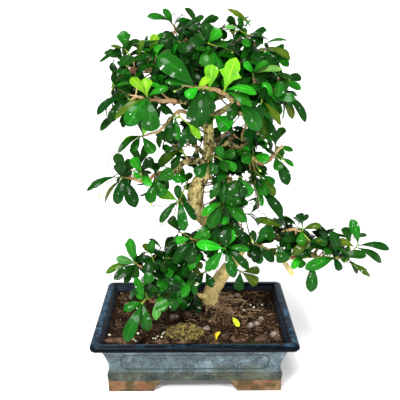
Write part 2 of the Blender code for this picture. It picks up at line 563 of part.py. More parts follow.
def make_screen(name, place_x, parent):
    """A square of plastic mesh that keeps the soil from falling through a drain hole."""
    material = finish_material("screen_plastic", (0.02, 0.02, 0.02), 0.5)
    bm = bmesh.new()
    bmesh.ops.create_grid(bm, x_segments=SCREEN_CELLS, y_segments=SCREEN_CELLS, size=SCREEN_SIZE / 2)
    cell = SCREEN_SIZE / SCREEN_CELLS
    windows = []
    for face in bm.faces:
        centre = face.calc_center_median()
        column = round((centre.x + SCREEN_SIZE / 2) / cell - 0.5)
        row = round((centre.y + SCREEN_SIZE / 2) / cell - 0.5)
        if column % 2 and row % 2:
            windows.append(face)
    bmesh.ops.delete(bm, geom=windows, context="FACES")
    extruded = bmesh.ops.extrude_face_region(bm, geom=bm.faces[:])
    lifted = [item for item in extruded["geom"] if isinstance(item, bmesh.types.BMVert)]
    bmesh.ops.translate(bm, verts=lifted, vec=(0, 0, SCREEN_THICK))
    bmesh.ops.translate(bm, verts=bm.verts, vec=(place_x, 0, FLOOR_TOP + GAP))
    return add_object(name, mesh_from(bm, name), material, parent)


def inner_inset(height):
    """How far the pot's inner wall lies in from the rim's outer edge at a height."""
    for (high_inset, high), (low_inset, low) in zip(INNER_WALL, INNER_WALL[1:]):
        if height >= low:
            return high_inset + (low_inset - high_inset) * (high - height) / (high - low)
    return INNER_WALL[-1][0]


def soil_height(x, y):
    """Height of the soil's surface."""
    height = SOIL_EDGE
    for mound_x, mound_y, reach, rise in MOUNDS:
        distance = math.hypot(x - mound_x * MM, y - mound_y * MM) / (reach * MM)
        height += rise * MM * math.exp(-distance * distance)
    return height


def make_soil(parent):
    """The block of soil that fills the pot, with its mounds and the hole that the trunk stands in."""
    material = finish_material("soil", (0.09, 0.055, 0.035), 0.95)
    bm = bmesh.new()
    rings = []
    for height in (SOIL_BOTTOM, INNER_WALL[1][1], SOIL_EDGE):
        outline = pot_outline(inner_inset(height) + SOIL_GAP)
        rings.append([(x, y, height) for x, y in outline])
    edge = rings.pop()
    for scale in SOIL_RINGS:
        ring = []
        for x, y, _ in edge:
            height = SOIL_EDGE if scale == 1.0 else soil_height(x * scale, y * scale)
            ring.append((x * scale, y * scale, height))
        rings.append(ring)
    stack_rings(bm, rings)
    bmesh.ops.triangulate(bm, faces=bm.faces)
    soil = add_object("soil", mesh_from(bm, "soil"), material, parent)
    place = (TRUNK[0][0] * MM, TRUNK[0][1] * MM)
    hole = make_cylinder("hole", place, TRUNK_HOLE_RADIUS, TRUNK_HOLE_BOTTOM, POT_HEIGHT + 0.02, 16,
                         material, parent)
    combine(soil, [hole], "DIFFERENCE")
    return soil


def tube_rings(points, radii, sides, turn=0.0):
    """Rings of points round a path, each turned no more than it has to be."""
    rings = []
    side = None
    for index, point in enumerate(points):
        ahead = points[min(index + 1, len(points) - 1)] - points[max(index - 1, 0)]
        if index == 0:
            ahead = points[1] - points[0]
        ahead.normalize()
        if side is None:
            side = ahead.orthogonal()
        side = (side - ahead * side.dot(ahead)).normalized()
        other = ahead.cross(side)
        ring = []
        for step in range(sides):
            angle = turn + 2 * math.pi * step / sides
            ring.append(point + radii[index] * (math.cos(angle) * side + math.sin(angle) * other))
        rings.append(ring)
    return rings


def tube_mesh(name, points, radii, sides, turn=0.0):
    """A closed tube along a path."""
    bm = bmesh.new()
    stack_rings(bm, tube_rings(points, radii, sides, turn))
    return mesh_from(bm, name)


def read_path(rows):
    """Points and radii in metres from a row of (x, y, z, radius) in mm."""
    points = [Vector(row[:3]) * MM for row in rows]
    radii = [row[3] * MM for row in rows]
    return points, radii


def trim_bough(rows, centres):
    """A bough's rows of (x, y, z, radius) in mm, ended short of the heads of leaves at its tip."""
    rows = list(rows)
    while len(rows) > 2:
        before, last = Vector(rows[-2]), Vector(rows[-1])
        steps = max(round((last - before).length), 1)
        for step in range(steps):
            end = last.lerp(before, step / steps)
            if all((centre - end.to_3d()).length > TIP_ROOM for centre in centres):
                return rows[:-1] + [tuple(end)]
        rows.pop()
    return rows


def fill_path(rows, spacing=0.003):
    """Close-set points along a path, with the radius at each, for finding the nearest wood."""
    points, radii = read_path(rows)
    filled = []
    for start, end, r_start, r_end in zip(points, points[1:], radii, radii[1:]):
        steps = max(int((end - start).length / spacing), 1)
        for step in range(steps):
            t = step / steps
            filled.append((start.lerp(end, t), r_start + (r_end - r_start) * t))
    filled.append((points[-1], radii[-1]))
    return filled


def find_fork(heads, wood):
    """Where a twig leaves the wood and where it ends, for the heads of one shoot."""
    foremost = [head for head in heads if head.leaves] or heads[:2]
    middle = sum((Vector(head.place) * MM for head in foremost), Vector()) / len(foremost)
    best = None
    for path in wood.values():
        for index, (point, radius) in enumerate(path):
            distance = (middle - point).length - radius
            if best is None or distance < best[0]:
                best = (distance, path, index)
    _, path, index = best
    gap = (middle - path[index][0]).length
    if index < len(path) - 1:
        index = max(index - round(0.45 * gap / 0.003), 1)
    root, radius = path[index]
    reach = middle - root
    length = max(0.45 * reach.length, radius + 0.002)
    return root, root + reach.normalized() * min(length, reach.length - 0.003), radius


def twig_path(root, fork, radius):
    """Path and radii of the woody twig that carries a shoot."""
    thick = min(TWIG_RADIUS * 1.15, 0.85 * radius)
    return [root, fork], [thick, min(TWIG_RADIUS, thick)]


def shoot_paths(root, fork, heads):
    """Paths of the green stems of a shoot, the later ones branching off the first, and each head's axis."""
    ahead = (fork - root).normalized()
    paths = []
    for number, head in enumerate(heads):
        centre = Vector(head.place) * MM
        if number == 0:
            path = [fork + ahead * GAP, fork + ahead * STEM_FOOT]
            radii = [SHOOT_RADIUS, SHOOT_RADIUS]
        else:
            start = fork + ahead * (STEM_FOOT - 0.0004 * number)
            path = [start, start + (centre - start).normalized() * STEM_FOOT]
            radii = [SHOOT_TIP / 2, SHOOT_TIP]
        bend = path[-1]
        axis = (centre - bend).normalized()
        if (centre - bend).length > 2.2 * HEAD_RUN:
            path.append(bend.lerp(centre, 0.5) + UP * 0.04 * (centre - bend).length)
            radii.append(SHOOT_TIP)
            axis = (centre - path[-1]).normalized()
        path.append(centre + axis * HEAD_OVER)
        radii.append(SHOOT_TIP)
        paths.append((path, radii, axis))
    return paths


def blade_sections(length, width):
    """Stations along a leaf, as (share of the length, half width), from its stalk to before its tip."""
    half = width / 2
    if width < SMALL_WIDTH and length < SMALL_BLADE:
        return ((0.0, PETIOLE_HALF), (0.62, half))
    if width < 0.0155:
        return ((0.0, PETIOLE_HALF), (0.42, 0.74 * half), (0.78, half))
    if width > 0.0225:
        return ((0.0, PETIOLE_HALF), (0.44, 0.5 * half), (0.56, half), (0.66, 0.62 * half),
                (0.86, 0.66 * half))
    return ((0.0, PETIOLE_HALF), (0.32, 0.6 * half), (0.66, half), (0.88, 0.74 * half))


def blade_frame(base, tip, facing, arch):
    """A leaf's arched midrib as a function of the share of its length, and its sideways direction."""
    chord = tip - base
    along = chord.normalized()
    lift = facing - along * facing.dot(along)
    if lift.length < 0.1:
        lift = along.orthogonal()
    lift.normalize()
    control = base + chord * 0.5 + lift * arch * chord.length * 2
    across = along.cross(lift).normalized()

    def midrib(t):
        point = base * (1 - t) ** 2 + control * 2 * t * (1 - t) + tip * t * t
        slope = (control - base) * 2 * (1 - t) + (tip - control) * 2 * t
        return point, across.cross(slope).normalized()

    return midrib, across


def skin(rings, tip):
    """Vertices and faces of a closed skin over rings of points that end in a tip."""
    count = len(rings[0])
    verts = [point for ring in rings for point in ring] + [tip]
    faces = [tuple(range(count))]
    for row in range(len(rings) - 1):
        for step in range(count):
            near, beside = row * count + step, row * count + (step + 1) % count
            faces += [(near, beside, beside + count), (near, beside + count, near + count)]
    last = len(verts) - 1 - count
    faces += [(last + step, last + (step + 1) % count, len(verts) - 1) for step in range(count)]
    return verts, faces


def blade_solid(base, tip, facing, width, arch=ARCH):
    """Vertices and faces of one leaf blade, flat above and with a keel along its midrib below."""
    midrib, across = blade_frame(base, tip, facing, arch)
    rings = []
    for share, half in blade_sections((tip - base).length, width):
        point, normal = midrib(share)
        keel = min(BLADE_KEEL, 1.25 * half)
        rings.append((point - across * half, point + across * half, point - normal * keel))
    return skin(rings, tip)


def blade_room(base, tip, facing, width, start):
    """Vertices and faces of the room that a leaf takes up with its clearance, from a share of its length."""
    midrib, across = blade_frame(base, tip, facing, ARCH)
    rings = []
    for share, half in blade_sections((tip - base).length, width):
        point, normal = midrib(max(share, start))
        side = across * (half + CLEAR / 2)
        over = point + normal * CLEAR / 2
        under = point - normal * (BLADE_KEEL + CLEAR / 2)
        rings.append((over - side, over + side, under + side, under - side))
    return skin(rings, tip + (tip - base).normalized() * CLEAR / 2)


def tree_of(pieces):
    """A search tree over several pieces, each given by its vertices and faces."""
    verts = []
    faces = []
    for piece_verts, piece_faces in pieces:
        offset = len(verts)
        verts += piece_verts
        faces += [tuple(index + offset for index in face) for face in piece_faces]
    return BVHTree.FromPolygons(verts, faces) if verts else None


def pieces_of_mesh(mesh):
    """Vertices and faces of a mesh."""
    return [vert.co.copy() for vert in mesh.vertices], [tuple(face.vertices) for face in mesh.polygons]


def view_leaf(leaf, draw, attempt):
    """Reach and facing of a leaf that is given as seen from the front, turned a little on each new try."""
    plane = Vector((leaf.right, 0, 0)) + UP_IN_VIEW * leaf.up
    depth = math.sqrt(max(leaf.length ** 2 - plane.length_squared, 0.0))
    swing = (1.0, 0.6, 1.3, 0.2, -0.3, 1.6, -0.8, -1.2)[attempt % 8]
    reach = plane + TOWARDS_EYE * (depth * swing + (2.5 if swing > 0 else -2.5) * (attempt // 4))
    if attempt:
        reach += Vector((draw.uniform(-1, 1), draw.uniform(-1, 1), draw.uniform(-1, 1))) * attempt * 0.35
    facing = UP * (1 - leaf.face) + TOWARDS_EYE * leaf.face
    return reach * MM, facing


def spun_leaf(number, axis, draw):
    """Reach, facing and width of a leaf set by the turn of the stem, a golden angle after the last."""
    side = axis.orthogonal().normalized()
    turn = number * math.radians(137.5) + draw.uniform(-0.5, 0.5)
    outward = side * math.cos(turn) + axis.cross(side) * math.sin(turn)
    lean = math.radians(draw.uniform(48, 82))
    reach = axis * math.cos(lean) + outward * math.sin(lean) - UP * draw.uniform(0.05, 0.4)
    return reach.normalized() * draw.uniform(24, 33) * MM, axis + UP * 0.7, draw.uniform(10, 14) * MM


def walk_back(path, distance):
    """Point on a stem's path, so far back from its end, but clear of its foot."""
    for end, start in zip(reversed(path), reversed(path[:-1])):
        run = (end - start).length
        if start == path[0]:
            distance = min(distance, run - ROOT_OUT)
        if distance <= run:
            return end.lerp(start, distance / run)
        distance -= run
    return path[0]


def leaf_root(path, axis, reach, share):
    """Where a leaf starts, just under the stem's surface, the later the further down the stem."""
    outward = reach - axis * reach.dot(axis)
    lean = outward.length / reach.length
    return walk_back(path, HEAD_OVER + HEAD_RUN * share * lean) + outward.normalized() * ROOT_OUT * lean


def place_leaves(shoots, stems, wood_pieces):
    """Choose a clear place for every leaf, first for those of the front and then for the others."""
    stem_pieces = {name: [pieces_of_mesh(mesh) for mesh in meshes] for name, meshes in stems.items()}
    solid = tree_of(wood_pieces)
    green = tree_of([piece for pieces in stem_pieces.values() for piece in pieces])
    placed = {name: [] for name in shoots}
    for by_rule in (False, True):
        for name, heads in shoots.items():
            others = tree_of([blade["full"] for other in placed if other != name for blade in placed[other]])
            for place, (head, (path, _, axis)) in enumerate(heads):
                count = head.more if by_rule else len(head.leaves)
                for number in range(count):
                    order = number + (len(head.leaves) if by_rule else 0)
                    share = order / (len(head.leaves) + head.more)
                    own = tree_of([blade["outer"] for blade in placed[name]])
                    draw = random.Random(f"{name} {place} {order}")
                    for attempt in range(TRIES):
                        if by_rule:
                            reach, facing, width = spun_leaf(order + attempt * 0.37, axis, draw)
                        else:
                            reach, facing = view_leaf(head.leaves[number], draw, attempt)
                            width = head.leaves[number].width * MM
                        base = leaf_root(path, axis, reach, share)
                        tip = base + reach
                        outer = blade_room(base, tip, facing, width, FREE_FROM)
                        outer_tree = tree_of([outer])
                        if green.overlap(outer_tree) or (own and own.overlap(outer_tree)):
                            continue
                        full = blade_room(base, tip, facing, width, 0.0)
                        full_tree = tree_of([full])
                        if solid.overlap(full_tree) or (others and others.overlap(full_tree)):
                            continue
                        placed[name].append({"base": base, "tip": tip, "facing": facing, "width": width,
                                             "outer": outer, "full": full})
                        break
    return placed


def mesh_of_piece(name, piece):
    """A mesh from vertices and faces."""
    verts, faces = piece
    bm = bmesh.new()
    corners = [bm.verts.new(vert) for vert in verts]
    for face in faces:
        bm.faces.new([corners[index] for index in face])
    return mesh_from(bm, name)


def make_trunk(boughs, twigs, parent):
    """Trunk, boughs and twigs, grown together."""
    material = finish_material("bark", (0.42, 0.31, 0.14), 0.85)
    trunk = add_object("trunk", tube_mesh("trunk", *read_path(TRUNK), TRUNK_SIDES), material, parent)
    limbs = []
    for rows in boughs:
        sides = BOUGH_SIDES if rows[0][3] > THICK_BOUGH else TWIG_SIDES
        limbs.append(add_object("limb", tube_mesh("limb", *read_path(rows), sides), material, parent))
    for points, radii in twigs:
        limbs.append(add_object("twig", tube_mesh("twig", points, radii, FINE_TWIG_SIDES), material, parent))
    combine(trunk, limbs)
    return trunk


def make_shoot(name, stems, blades, material, parent):
    """One leafy shoot: its stems and leaves, grown together, with the roots shifted a hair if need be."""
    for slip in ROOT_SLIPS:
        shoot = add_object("shoot_" + name, stems[0].copy(), material, parent)
        parts = [add_object("stem", mesh.copy(), material, parent) for mesh in stems[1:]]
        for number, blade in enumerate(blades):
            base = blade["base"] + Vector((slip, -slip, slip)) * (number % 3 - 1)
            piece = blade_solid(base, blade["tip"], blade["facing"], blade["width"])
            parts.append(add_object("blade", mesh_of_piece("blade", piece), material, parent))
        if combine(shoot, parts):
            return
        bpy.data.objects.remove(shoot, do_unlink=True)


def make_flower(place, axis, parent):
    """A white flower: a stalk and a short cup that opens into five petals."""
    material = finish_material("petal", (0.86, 0.85, 0.80), 0.5)
    foot = place + axis * GAP
    side = axis.orthogonal().normalized()
    other = axis.cross(side)
    rings = []
    for rise, petal, notch in FLOWER_PROFILE:
        ring = []
        for step in range(4 * PETALS):
            turn = 2 * math.pi * step / (4 * PETALS)
            reach = (notch, (petal + notch) / 1.9, petal, (petal + notch) / 1.9)[step % 4]
            ring.append(foot + axis * rise + (side * math.cos(turn) + other * math.sin(turn)) * reach)
        rings.append(ring)
    bm = bmesh.new()
    stack_rings(bm, rings)
    return add_object("flower_front", mesh_from(bm, "flower"), material, parent)


def make_fallen_leaf(name, stalk, tip, soil_tree, parent):
    """A yellowed leaf that lies on the soil on its stalk end and its tip."""
    material = finish_material("fallen_leaf", (0.75, 0.6, 0.04), 0.5)
    ends = []
    for x, y in (stalk, tip):
        hit = soil_tree.ray_cast(Vector((x * MM, y * MM, 0.2)), -UP)[0]
        ends.append(hit + UP * (BLADE_KEEL + GAP))
    piece = blade_solid(ends[0], ends[1], UP, FALLEN_WIDTH, FALLEN_ARCH)
    return add_object(name, mesh_of_piece(name, piece), material, parent)


def build():
    """Make every piece of the tree and its pot."""
    clear_scene()
    middle = bpy.data.objects.new("pot_middle", None)
    bpy.context.scene.collection.objects.link(middle)
    middle.location = POT_PLACE
    pot = make_pot(middle)
    make_screen("drain_screen_left", DRAIN_PLACES[0], middle)
    make_screen("drain_screen_right", DRAIN_PLACES[1], middle)
    soil = make_soil(middle)
    soil_tree = tree_of([pieces_of_mesh(soil.data)])

    centres = [Vector(head.place) for heads in SHOOTS.values() for head in heads]
    boughs = {name: trim_bough(rows, centres) for name, rows in BOUGHS.items()}
    wood = {name: fill_path(rows) for name, rows in boughs.items()}
    wood["trunk"] = fill_path(TRUNK)
    twigs = []
    stems = {}
    shoots = {}
    for name, heads in SHOOTS.items():
        root, fork, radius = find_fork(heads, wood)
        twigs.append(twig_path(root, fork, radius))
        paths = shoot_paths(root, fork, heads)
        stems[name] = [tube_mesh("stem", points, radii, SHOOT_SIDES, STEM_TURN * number)
                       for number, (points, radii, _) in enumerate(paths)]
        shoots[name] = list(zip(heads, paths))
    trunk = make_trunk(boughs.values(), twigs, middle)
    _, (points, _, axis) = shoots[FLOWER_SHOOT][0]
    flower = make_flower(points[-1], axis, middle)
    solids = [pieces_of_mesh(item.data) for item in (pot, soil, trunk, flower)]
    placed = place_leaves(shoots, stems, solids)
    leaf_green = finish_material("leaf", (0.03, 0.16, 0.02), 0.35)
    for name, blades in placed.items():
        make_shoot(name, stems[name], blades, leaf_green, middle)

    for name, (stalk, tip) in FALLEN_LEAVES.items():
        make_fallen_leaf(name, stalk, tip, soil_tree, middle)


build()
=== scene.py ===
"""Fukien tea bonsai, its trunk trained as an S, in a glazed rectangular pot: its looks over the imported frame.

The tree is drawn in millimetres from the middle of the pot, with +X to the right, -Y to the front and
+Z up from the surface that the feet stand on. A finished mesh is shifted by POT_PLACE to its place in the
frame. A leaf's tip is given as it is seen from the front, where the eye looks down by VIEW_TILT.
"""

import logging
import math
import random
from dataclasses import dataclass
from enum import Enum
from typing import Iterable, Optional

import bmesh
import bpy
from mathutils import Matrix, Vector, noise
from mathutils.kdtree import KDTree


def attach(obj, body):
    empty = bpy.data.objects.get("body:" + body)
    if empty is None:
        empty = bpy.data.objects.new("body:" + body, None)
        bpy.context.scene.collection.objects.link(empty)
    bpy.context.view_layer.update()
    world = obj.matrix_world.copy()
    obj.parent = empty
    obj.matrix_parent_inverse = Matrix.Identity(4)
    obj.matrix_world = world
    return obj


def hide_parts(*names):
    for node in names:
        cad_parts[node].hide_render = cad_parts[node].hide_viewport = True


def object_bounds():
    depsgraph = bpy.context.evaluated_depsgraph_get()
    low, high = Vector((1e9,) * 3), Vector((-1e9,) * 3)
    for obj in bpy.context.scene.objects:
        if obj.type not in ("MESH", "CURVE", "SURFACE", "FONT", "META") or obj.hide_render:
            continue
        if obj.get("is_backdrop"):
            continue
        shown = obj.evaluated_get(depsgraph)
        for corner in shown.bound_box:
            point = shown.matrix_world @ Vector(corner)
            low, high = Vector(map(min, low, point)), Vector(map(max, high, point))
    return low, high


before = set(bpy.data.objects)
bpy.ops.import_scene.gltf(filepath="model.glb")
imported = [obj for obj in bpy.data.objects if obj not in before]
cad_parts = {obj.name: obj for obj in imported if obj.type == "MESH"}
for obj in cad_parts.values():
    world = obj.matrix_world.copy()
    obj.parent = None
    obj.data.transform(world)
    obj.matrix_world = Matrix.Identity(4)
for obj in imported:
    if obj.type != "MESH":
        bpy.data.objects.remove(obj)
LOG = logging.getLogger("bonsai")

Colour = tuple[float, float, float]
Socket = bpy.types.NodeSocket

MM = 0.001
UP = Vector((0, 0, 1))
POT_PLACE = Vector((-0.05897, -0.00457, 0.0))
VIEW_TILT = math.radians(17.5)
GOLDEN_ANGLE = math.radians(137.5)
TOWARDS_EYE = Vector((0, -math.cos(VIEW_TILT), math.sin(VIEW_TILT)))
UP_IN_VIEW = Vector((0, math.sin(VIEW_TILT), math.cos(VIEW_TILT)))


# Finishes


class Recipe:
    """A material being mixed from nodes, all of them on object coordinates, UVs or attributes."""

    def __init__(self, name: str) -> None:
        """Start a material with an empty recipe.

        Args:
            name: The material's name.
        """
        self.material = bpy.data.materials.new(name)
        self.material.use_nodes = True
        self.tree = self.material.node_tree
        self.shader = self.tree.nodes["Principled BSDF"]
        self.object_coords = self.tree.nodes.new("ShaderNodeTexCoord").outputs["Object"]

    def put(self, socket: Socket, value: object) -> None:
        """Set a socket, by a link where the value is a socket.

        Args:
            socket: The input to set.
            value: A socket, a number or a colour.
        """
        if isinstance(value, bpy.types.NodeSocket):
            self.tree.links.new(value, socket)
        elif isinstance(value, tuple) and len(value) == 3 and socket.type == "RGBA":
            socket.default_value = (*value, 1.0)
        else:
            socket.default_value = value

    def coords(self, scale: Colour = (1, 1, 1), shift: Colour = (0, 0, 0)) -> Socket:
        """Object coordinates, scaled and shifted.

        Args:
            scale: Factor along each axis.
            shift: Shift along each axis, after the scale.

        Returns:
            The vector socket.
        """
        node = self.tree.nodes.new("ShaderNodeMapping")
        self.put(node.inputs["Vector"], self.object_coords)
        node.inputs["Scale"].default_value = scale
        node.inputs["Location"].default_value = shift
        return node.outputs["Vector"]

    def noise(self, scale: float, detail: float = 4.0, vector: Optional[Socket] = None,
              distortion: float = 0.0) -> Socket:
        """A cloudy pattern from 0 to 1.

        Args:
            scale: Clouds to the metre.
            detail: Finer layers.
            vector: Where it reads, or None for object coordinates.
            distortion: How far the clouds are drawn out.

        Returns:
            The value socket.
        """
        node = self.tree.nodes.new("ShaderNodeTexNoise")
        self.put(node.inputs["Vector"], vector or self.object_coords)
        node.inputs["Scale"].default_value = scale
        node.inputs["Detail"].default_value = detail
        node.inputs["Distortion"].default_value = distortion
        return node.outputs["Fac"]

    def cells(self, scale: float, vector: Optional[Socket] = None, feature: str = "F1") -> Socket:
        """A pattern of cells: the distance to their middles or to their edges.

        Args:
            scale: Cells to the metre.
            vector: Where it reads, or None for object coordinates.
            feature: F1 or DISTANCE_TO_EDGE.

        Returns:
            The distance socket.
        """
        node = self.tree.nodes.new("ShaderNodeTexVoronoi")
        node.feature = feature
        self.put(node.inputs["Vector"], vector or self.object_coords)
        node.inputs["Scale"].default_value = scale
        return node.outputs["Distance"]

    def calc(self, operation: str, first: object, second: object = 0.0) -> Socket:
        """One step of arithmetic.

        Args:
            operation: Blender's name of the step.
            first: A number or a socket.
            second: A number or a socket.

        Returns:
            The value socket.
        """
        node = self.tree.nodes.new("ShaderNodeMath")
        node.operation = operation
        self.put(node.inputs[0], first)
        self.put(node.inputs[1], second)
        return node.outputs[0]

    def between(self, value: Socket, low: float, high: float, start: float = 0.0, end: float = 1.0) -> Socket:
        """A value brought smoothly from one range to another and held there.

        Args:
            value: The value socket.
            low: Where the ramp starts.
            high: Where it ends.
            start: Result up to low.
            end: Result from high on.

        Returns:
            The value socket.
        """
        node = self.tree.nodes.new("ShaderNodeMapRange")
        node.interpolation_type = "SMOOTHSTEP"
        self.put(node.inputs["Value"], value)
        node.inputs["From Min"].default_value = low
        node.inputs["From Max"].default_value = high
        node.inputs["To Min"].default_value = start
        node.inputs["To Max"].default_value = end
        return node.outputs["Result"]

    def mix(self, share: object, first: object, second: object, blend: str = "MIX") -> Socket:
        """Two colours mixed.

        Args:
            share: How much of the second, a number or a socket.
            first: A colour or a socket.
            second: A colour or a socket.
            blend: Blender's name of the way to mix.

        Returns:
            The colour socket.
        """
        node = self.tree.nodes.new("ShaderNodeMix")
        node.data_type = "RGBA"
        node.blend_type = blend
        self.put(node.inputs["Factor"], share)
        self.put(node.inputs[6], first)
        self.put(node.inputs[7], second)
        return node.outputs[2]

    def attribute(self, name: str) -> Socket:
        """Colour of a mesh attribute."""
        node = self.tree.nodes.new("ShaderNodeAttribute")
        node.attribute_name = name
        return node.outputs["Color"]

    def parts(self, vector: Socket) -> tuple[Socket, Socket, Socket]:
        """The three parts of a vector."""
        node = self.tree.nodes.new("ShaderNodeSeparateXYZ")
        self.put(node.inputs[0], vector)
        return node.outputs[0], node.outputs[1], node.outputs[2]

    def bump(self, height: Socket, strength: float, distance: float,
             under: Optional[Socket] = None) -> Socket:
        """Relief that only the light feels.

        Args:
            height: Height from 0 to 1.
            strength: From 0 to 1.
            distance: Depth of the relief in metres.
            under: Relief that this one lies on.

        Returns:
            The normal socket.
        """
        node = self.tree.nodes.new("ShaderNodeBump")
        node.inputs["Strength"].default_value = strength
        node.inputs["Distance"].default_value = distance
        self.put(node.inputs["Height"], height)
        if under:
            self.put(node.inputs["Normal"], under)
        return node.outputs["Normal"]

    def done(self, colour: object, rough: object, relief: Optional[Socket] = None,
             **constants: float) -> bpy.types.Material:
        """Give the shader its colour, roughness and relief.

        Args:
            colour: Base colour, a colour or a socket.
            rough: Roughness, a number or a socket.
            relief: Normal socket.
            constants: Other inputs of the shader by their name, with spaces as underscores.

        Returns:
            The finished material.
        """
        self.put(self.shader.inputs["Base Color"], colour)
        self.put(self.shader.inputs["Roughness"], rough)
        if relief:
            self.put(self.shader.inputs["Normal"], relief)
        for name, value in constants.items():
            self.shader.inputs[name.replace("_", " ")].default_value = value
        return self.material


@dataclass(frozen=True)
class LeafSkin:
    """The leathery, glossy face of a leaf, its colour from the tone attribute, with its midrib and side veins."""

    name: str = "leaf_face"
    vein_lift: float = 2.5
    vein_share: float = 0.60
    roughness: float = 0.30
    coat: float = 0.17
    specular: float = 0.04
    dulling: float = 0.0

    def material(self) -> bpy.types.Material:
        """Mix the material."""
        mixing = Recipe(self.name)
        uv = mixing.tree.nodes.new("ShaderNodeUVMap")
        uv.uv_map = "UVMap"
        across, along, _ = mixing.parts(uv.outputs["UV"])
        side = mixing.calc("ABSOLUTE", mixing.calc("SUBTRACT", across, 0.5))
        midrib = mixing.between(side, 0.015, 0.065, 1.0, 0.0)
        slant = mixing.calc("SUBTRACT", mixing.calc("MULTIPLY", along, 8.0),
                            mixing.calc("MULTIPLY", side, 5.0))
        wave = mixing.calc("ABSOLUTE", mixing.calc("SUBTRACT", mixing.calc("FRACT", slant), 0.5))
        branch = mixing.between(wave, 0.0, 0.09, 0.6, 0.0)
        inner = mixing.between(side, 0.30, 0.46, 1.0, 0.0)
        veins = mixing.calc("MAXIMUM", midrib, mixing.calc("MULTIPLY", branch, inner))
        tone = mixing.attribute("tone")
        cloud = mixing.noise(90.0, 3.0)
        patch = mixing.noise(420.0, 4.0)
        base = mixing.mix(mixing.between(cloud, 0.35, 0.7, 0.0, 0.6), tone, (0.45, 0.55, 0.5), "MULTIPLY")
        base = mixing.mix(mixing.between(patch, 0.45, 0.75, 0.0, 0.4), base, (1.5, 1.3, 0.9), "MULTIPLY")
        # Painted glint: the colour is lightened along the leaf's margin
        margin = mixing.between(side, 0.42, 0.5, 0.0, 0.45)
        base = mixing.mix(margin, base, mixing.mix(1.0, base, (1.9, 1.7, 1.6), "MULTIPLY"))
        lift = (self.vein_lift * 1.3, self.vein_lift * 0.86, self.vein_lift)
        light = mixing.mix(1.0, base, lift, "MULTIPLY")
        base = mixing.mix(mixing.calc("MULTIPLY", veins, self.vein_share), base, light)
        if self.dulling:
            base = mixing.mix(self.dulling, base, (0.035, 0.13, 0.018))
        rough = mixing.between(patch, 0.3, 0.75, self.roughness - 0.05, self.roughness + 0.14)
        relief = mixing.bump(mixing.noise(1500.0, 2.0), 0.22, 0.0003)
        relief = mixing.bump(mixing.calc("SUBTRACT", 1.0, veins), 0.5, 0.0004, relief)
        return mixing.done(base, rough, relief, Coat_Weight=self.coat, Coat_Roughness=0.07,
                           Specular_IOR_Level=self.specular)


@dataclass(frozen=True)
class Bark:
    """Bark, from smooth tan wood near the soil to cracked and lichened wood higher up."""

    name: str = "bark"
    tan: Colour = (0.95, 0.73, 0.31)
    straw: Colour = (0.84, 0.66, 0.22)
    olive: Colour = (0.34, 0.31, 0.10)
    umber: Colour = (0.018, 0.016, 0.006)
    lichen: Colour = (0.50, 0.49, 0.27)
    low: float = 0.13
    high: float = 0.29

    def material(self) -> bpy.types.Material:
        """Mix the material."""
        mixing = Recipe(self.name)
        _, _, height = mixing.parts(mixing.object_coords)
        stretched = mixing.coords((1.0, 1.0, 0.45))
        broad = mixing.noise(48.0, 5.0, stretched, 0.6)
        fine = mixing.noise(420.0, 6.0, stretched, 0.6)
        specks = mixing.noise(1000.0, 3.0)
        crust = mixing.noise(75.0, 5.0, mixing.coords((1, 1, 0.7), (0.3, 0.1, 0)), 0.8)
        cracks = mixing.cells(240.0, mixing.coords((1.0, 1.0, 0.5)), "DISTANCE_TO_EDGE")
        in_crack = mixing.between(cracks, 0.0, 0.09, 1.0, 0.0)
        up = mixing.between(height, self.low, self.high)
        base = mixing.mix(mixing.between(broad, 0.35, 0.65), self.tan, self.straw)
        base = mixing.mix(mixing.calc("MULTIPLY", up, mixing.between(broad, 0.46, 0.66, 0.1, 0.85)), base,
                          self.olive)
        base = mixing.mix(mixing.between(fine, 0.52, 0.64, 0.0, 0.6), base, self.lichen)
        base = mixing.mix(up, base, mixing.mix(1.0, base, (0.66, 0.70, 0.62), "MULTIPLY"))
        crusted = mixing.calc("MULTIPLY", mixing.between(crust, 0.41, 0.53), up)
        dark = mixing.calc("MULTIPLY", mixing.between(fine, 0.56, 0.44), mixing.calc("ADD", crusted, 0.30))
        base = mixing.mix(mixing.calc("MINIMUM", dark, 0.95), base, self.umber)
        # Painted shade: umber laid along the cracks, more where the bark is crusted
        painted_crack_shade = mixing.calc("MULTIPLY", in_crack, mixing.calc("ADD", mixing.calc("MULTIPLY", crusted, 0.85), 0.10))
        base = mixing.mix(painted_crack_shade, base, self.umber)
        base = mixing.mix(mixing.between(specks, 0.60, 0.70, 0.0, 0.5), base, (0.66, 0.55, 0.30))
        base = mixing.mix(mixing.between(specks, 0.41, 0.31, 0.0, 0.75), base, (0.10, 0.06, 0.03))
        relief = mixing.bump(fine, 0.7, 0.0012)
        relief = mixing.bump(cracks, 0.5, 0.0016, relief)
        return mixing.done(base, mixing.between(fine, 0.3, 0.7, 0.72, 0.95), relief, Specular_IOR_Level=0.08)


@dataclass(frozen=True)
class TwigBark:
    """Thin bark of a young twig."""

    name: str
    brown: Colour = (0.30, 0.14, 0.07)
    pale: Colour = (0.52, 0.36, 0.18)
    green: Colour = (0.12, 0.16, 0.03)

    def material(self) -> bpy.types.Material:
        """Mix the material."""
        mixing = Recipe(self.name)
        broad = mixing.noise(38.0, 3.0)
        fine = mixing.noise(700.0, 4.0, mixing.coords((1.0, 1.0, 0.6)))
        base = mixing.mix(mixing.between(broad, 0.38, 0.62), self.brown, self.pale)
        base = mixing.mix(mixing.between(mixing.noise(60.0, 2.0), 0.52, 0.66, 0.0, 0.7), base, self.green)
        base = mixing.mix(mixing.between(fine, 0.5, 0.68, 0.0, 0.6), base, (0.10, 0.05, 0.03))
        return mixing.done(base, 0.7, mixing.bump(fine, 0.6, 0.0005), Specular_IOR_Level=0.12)


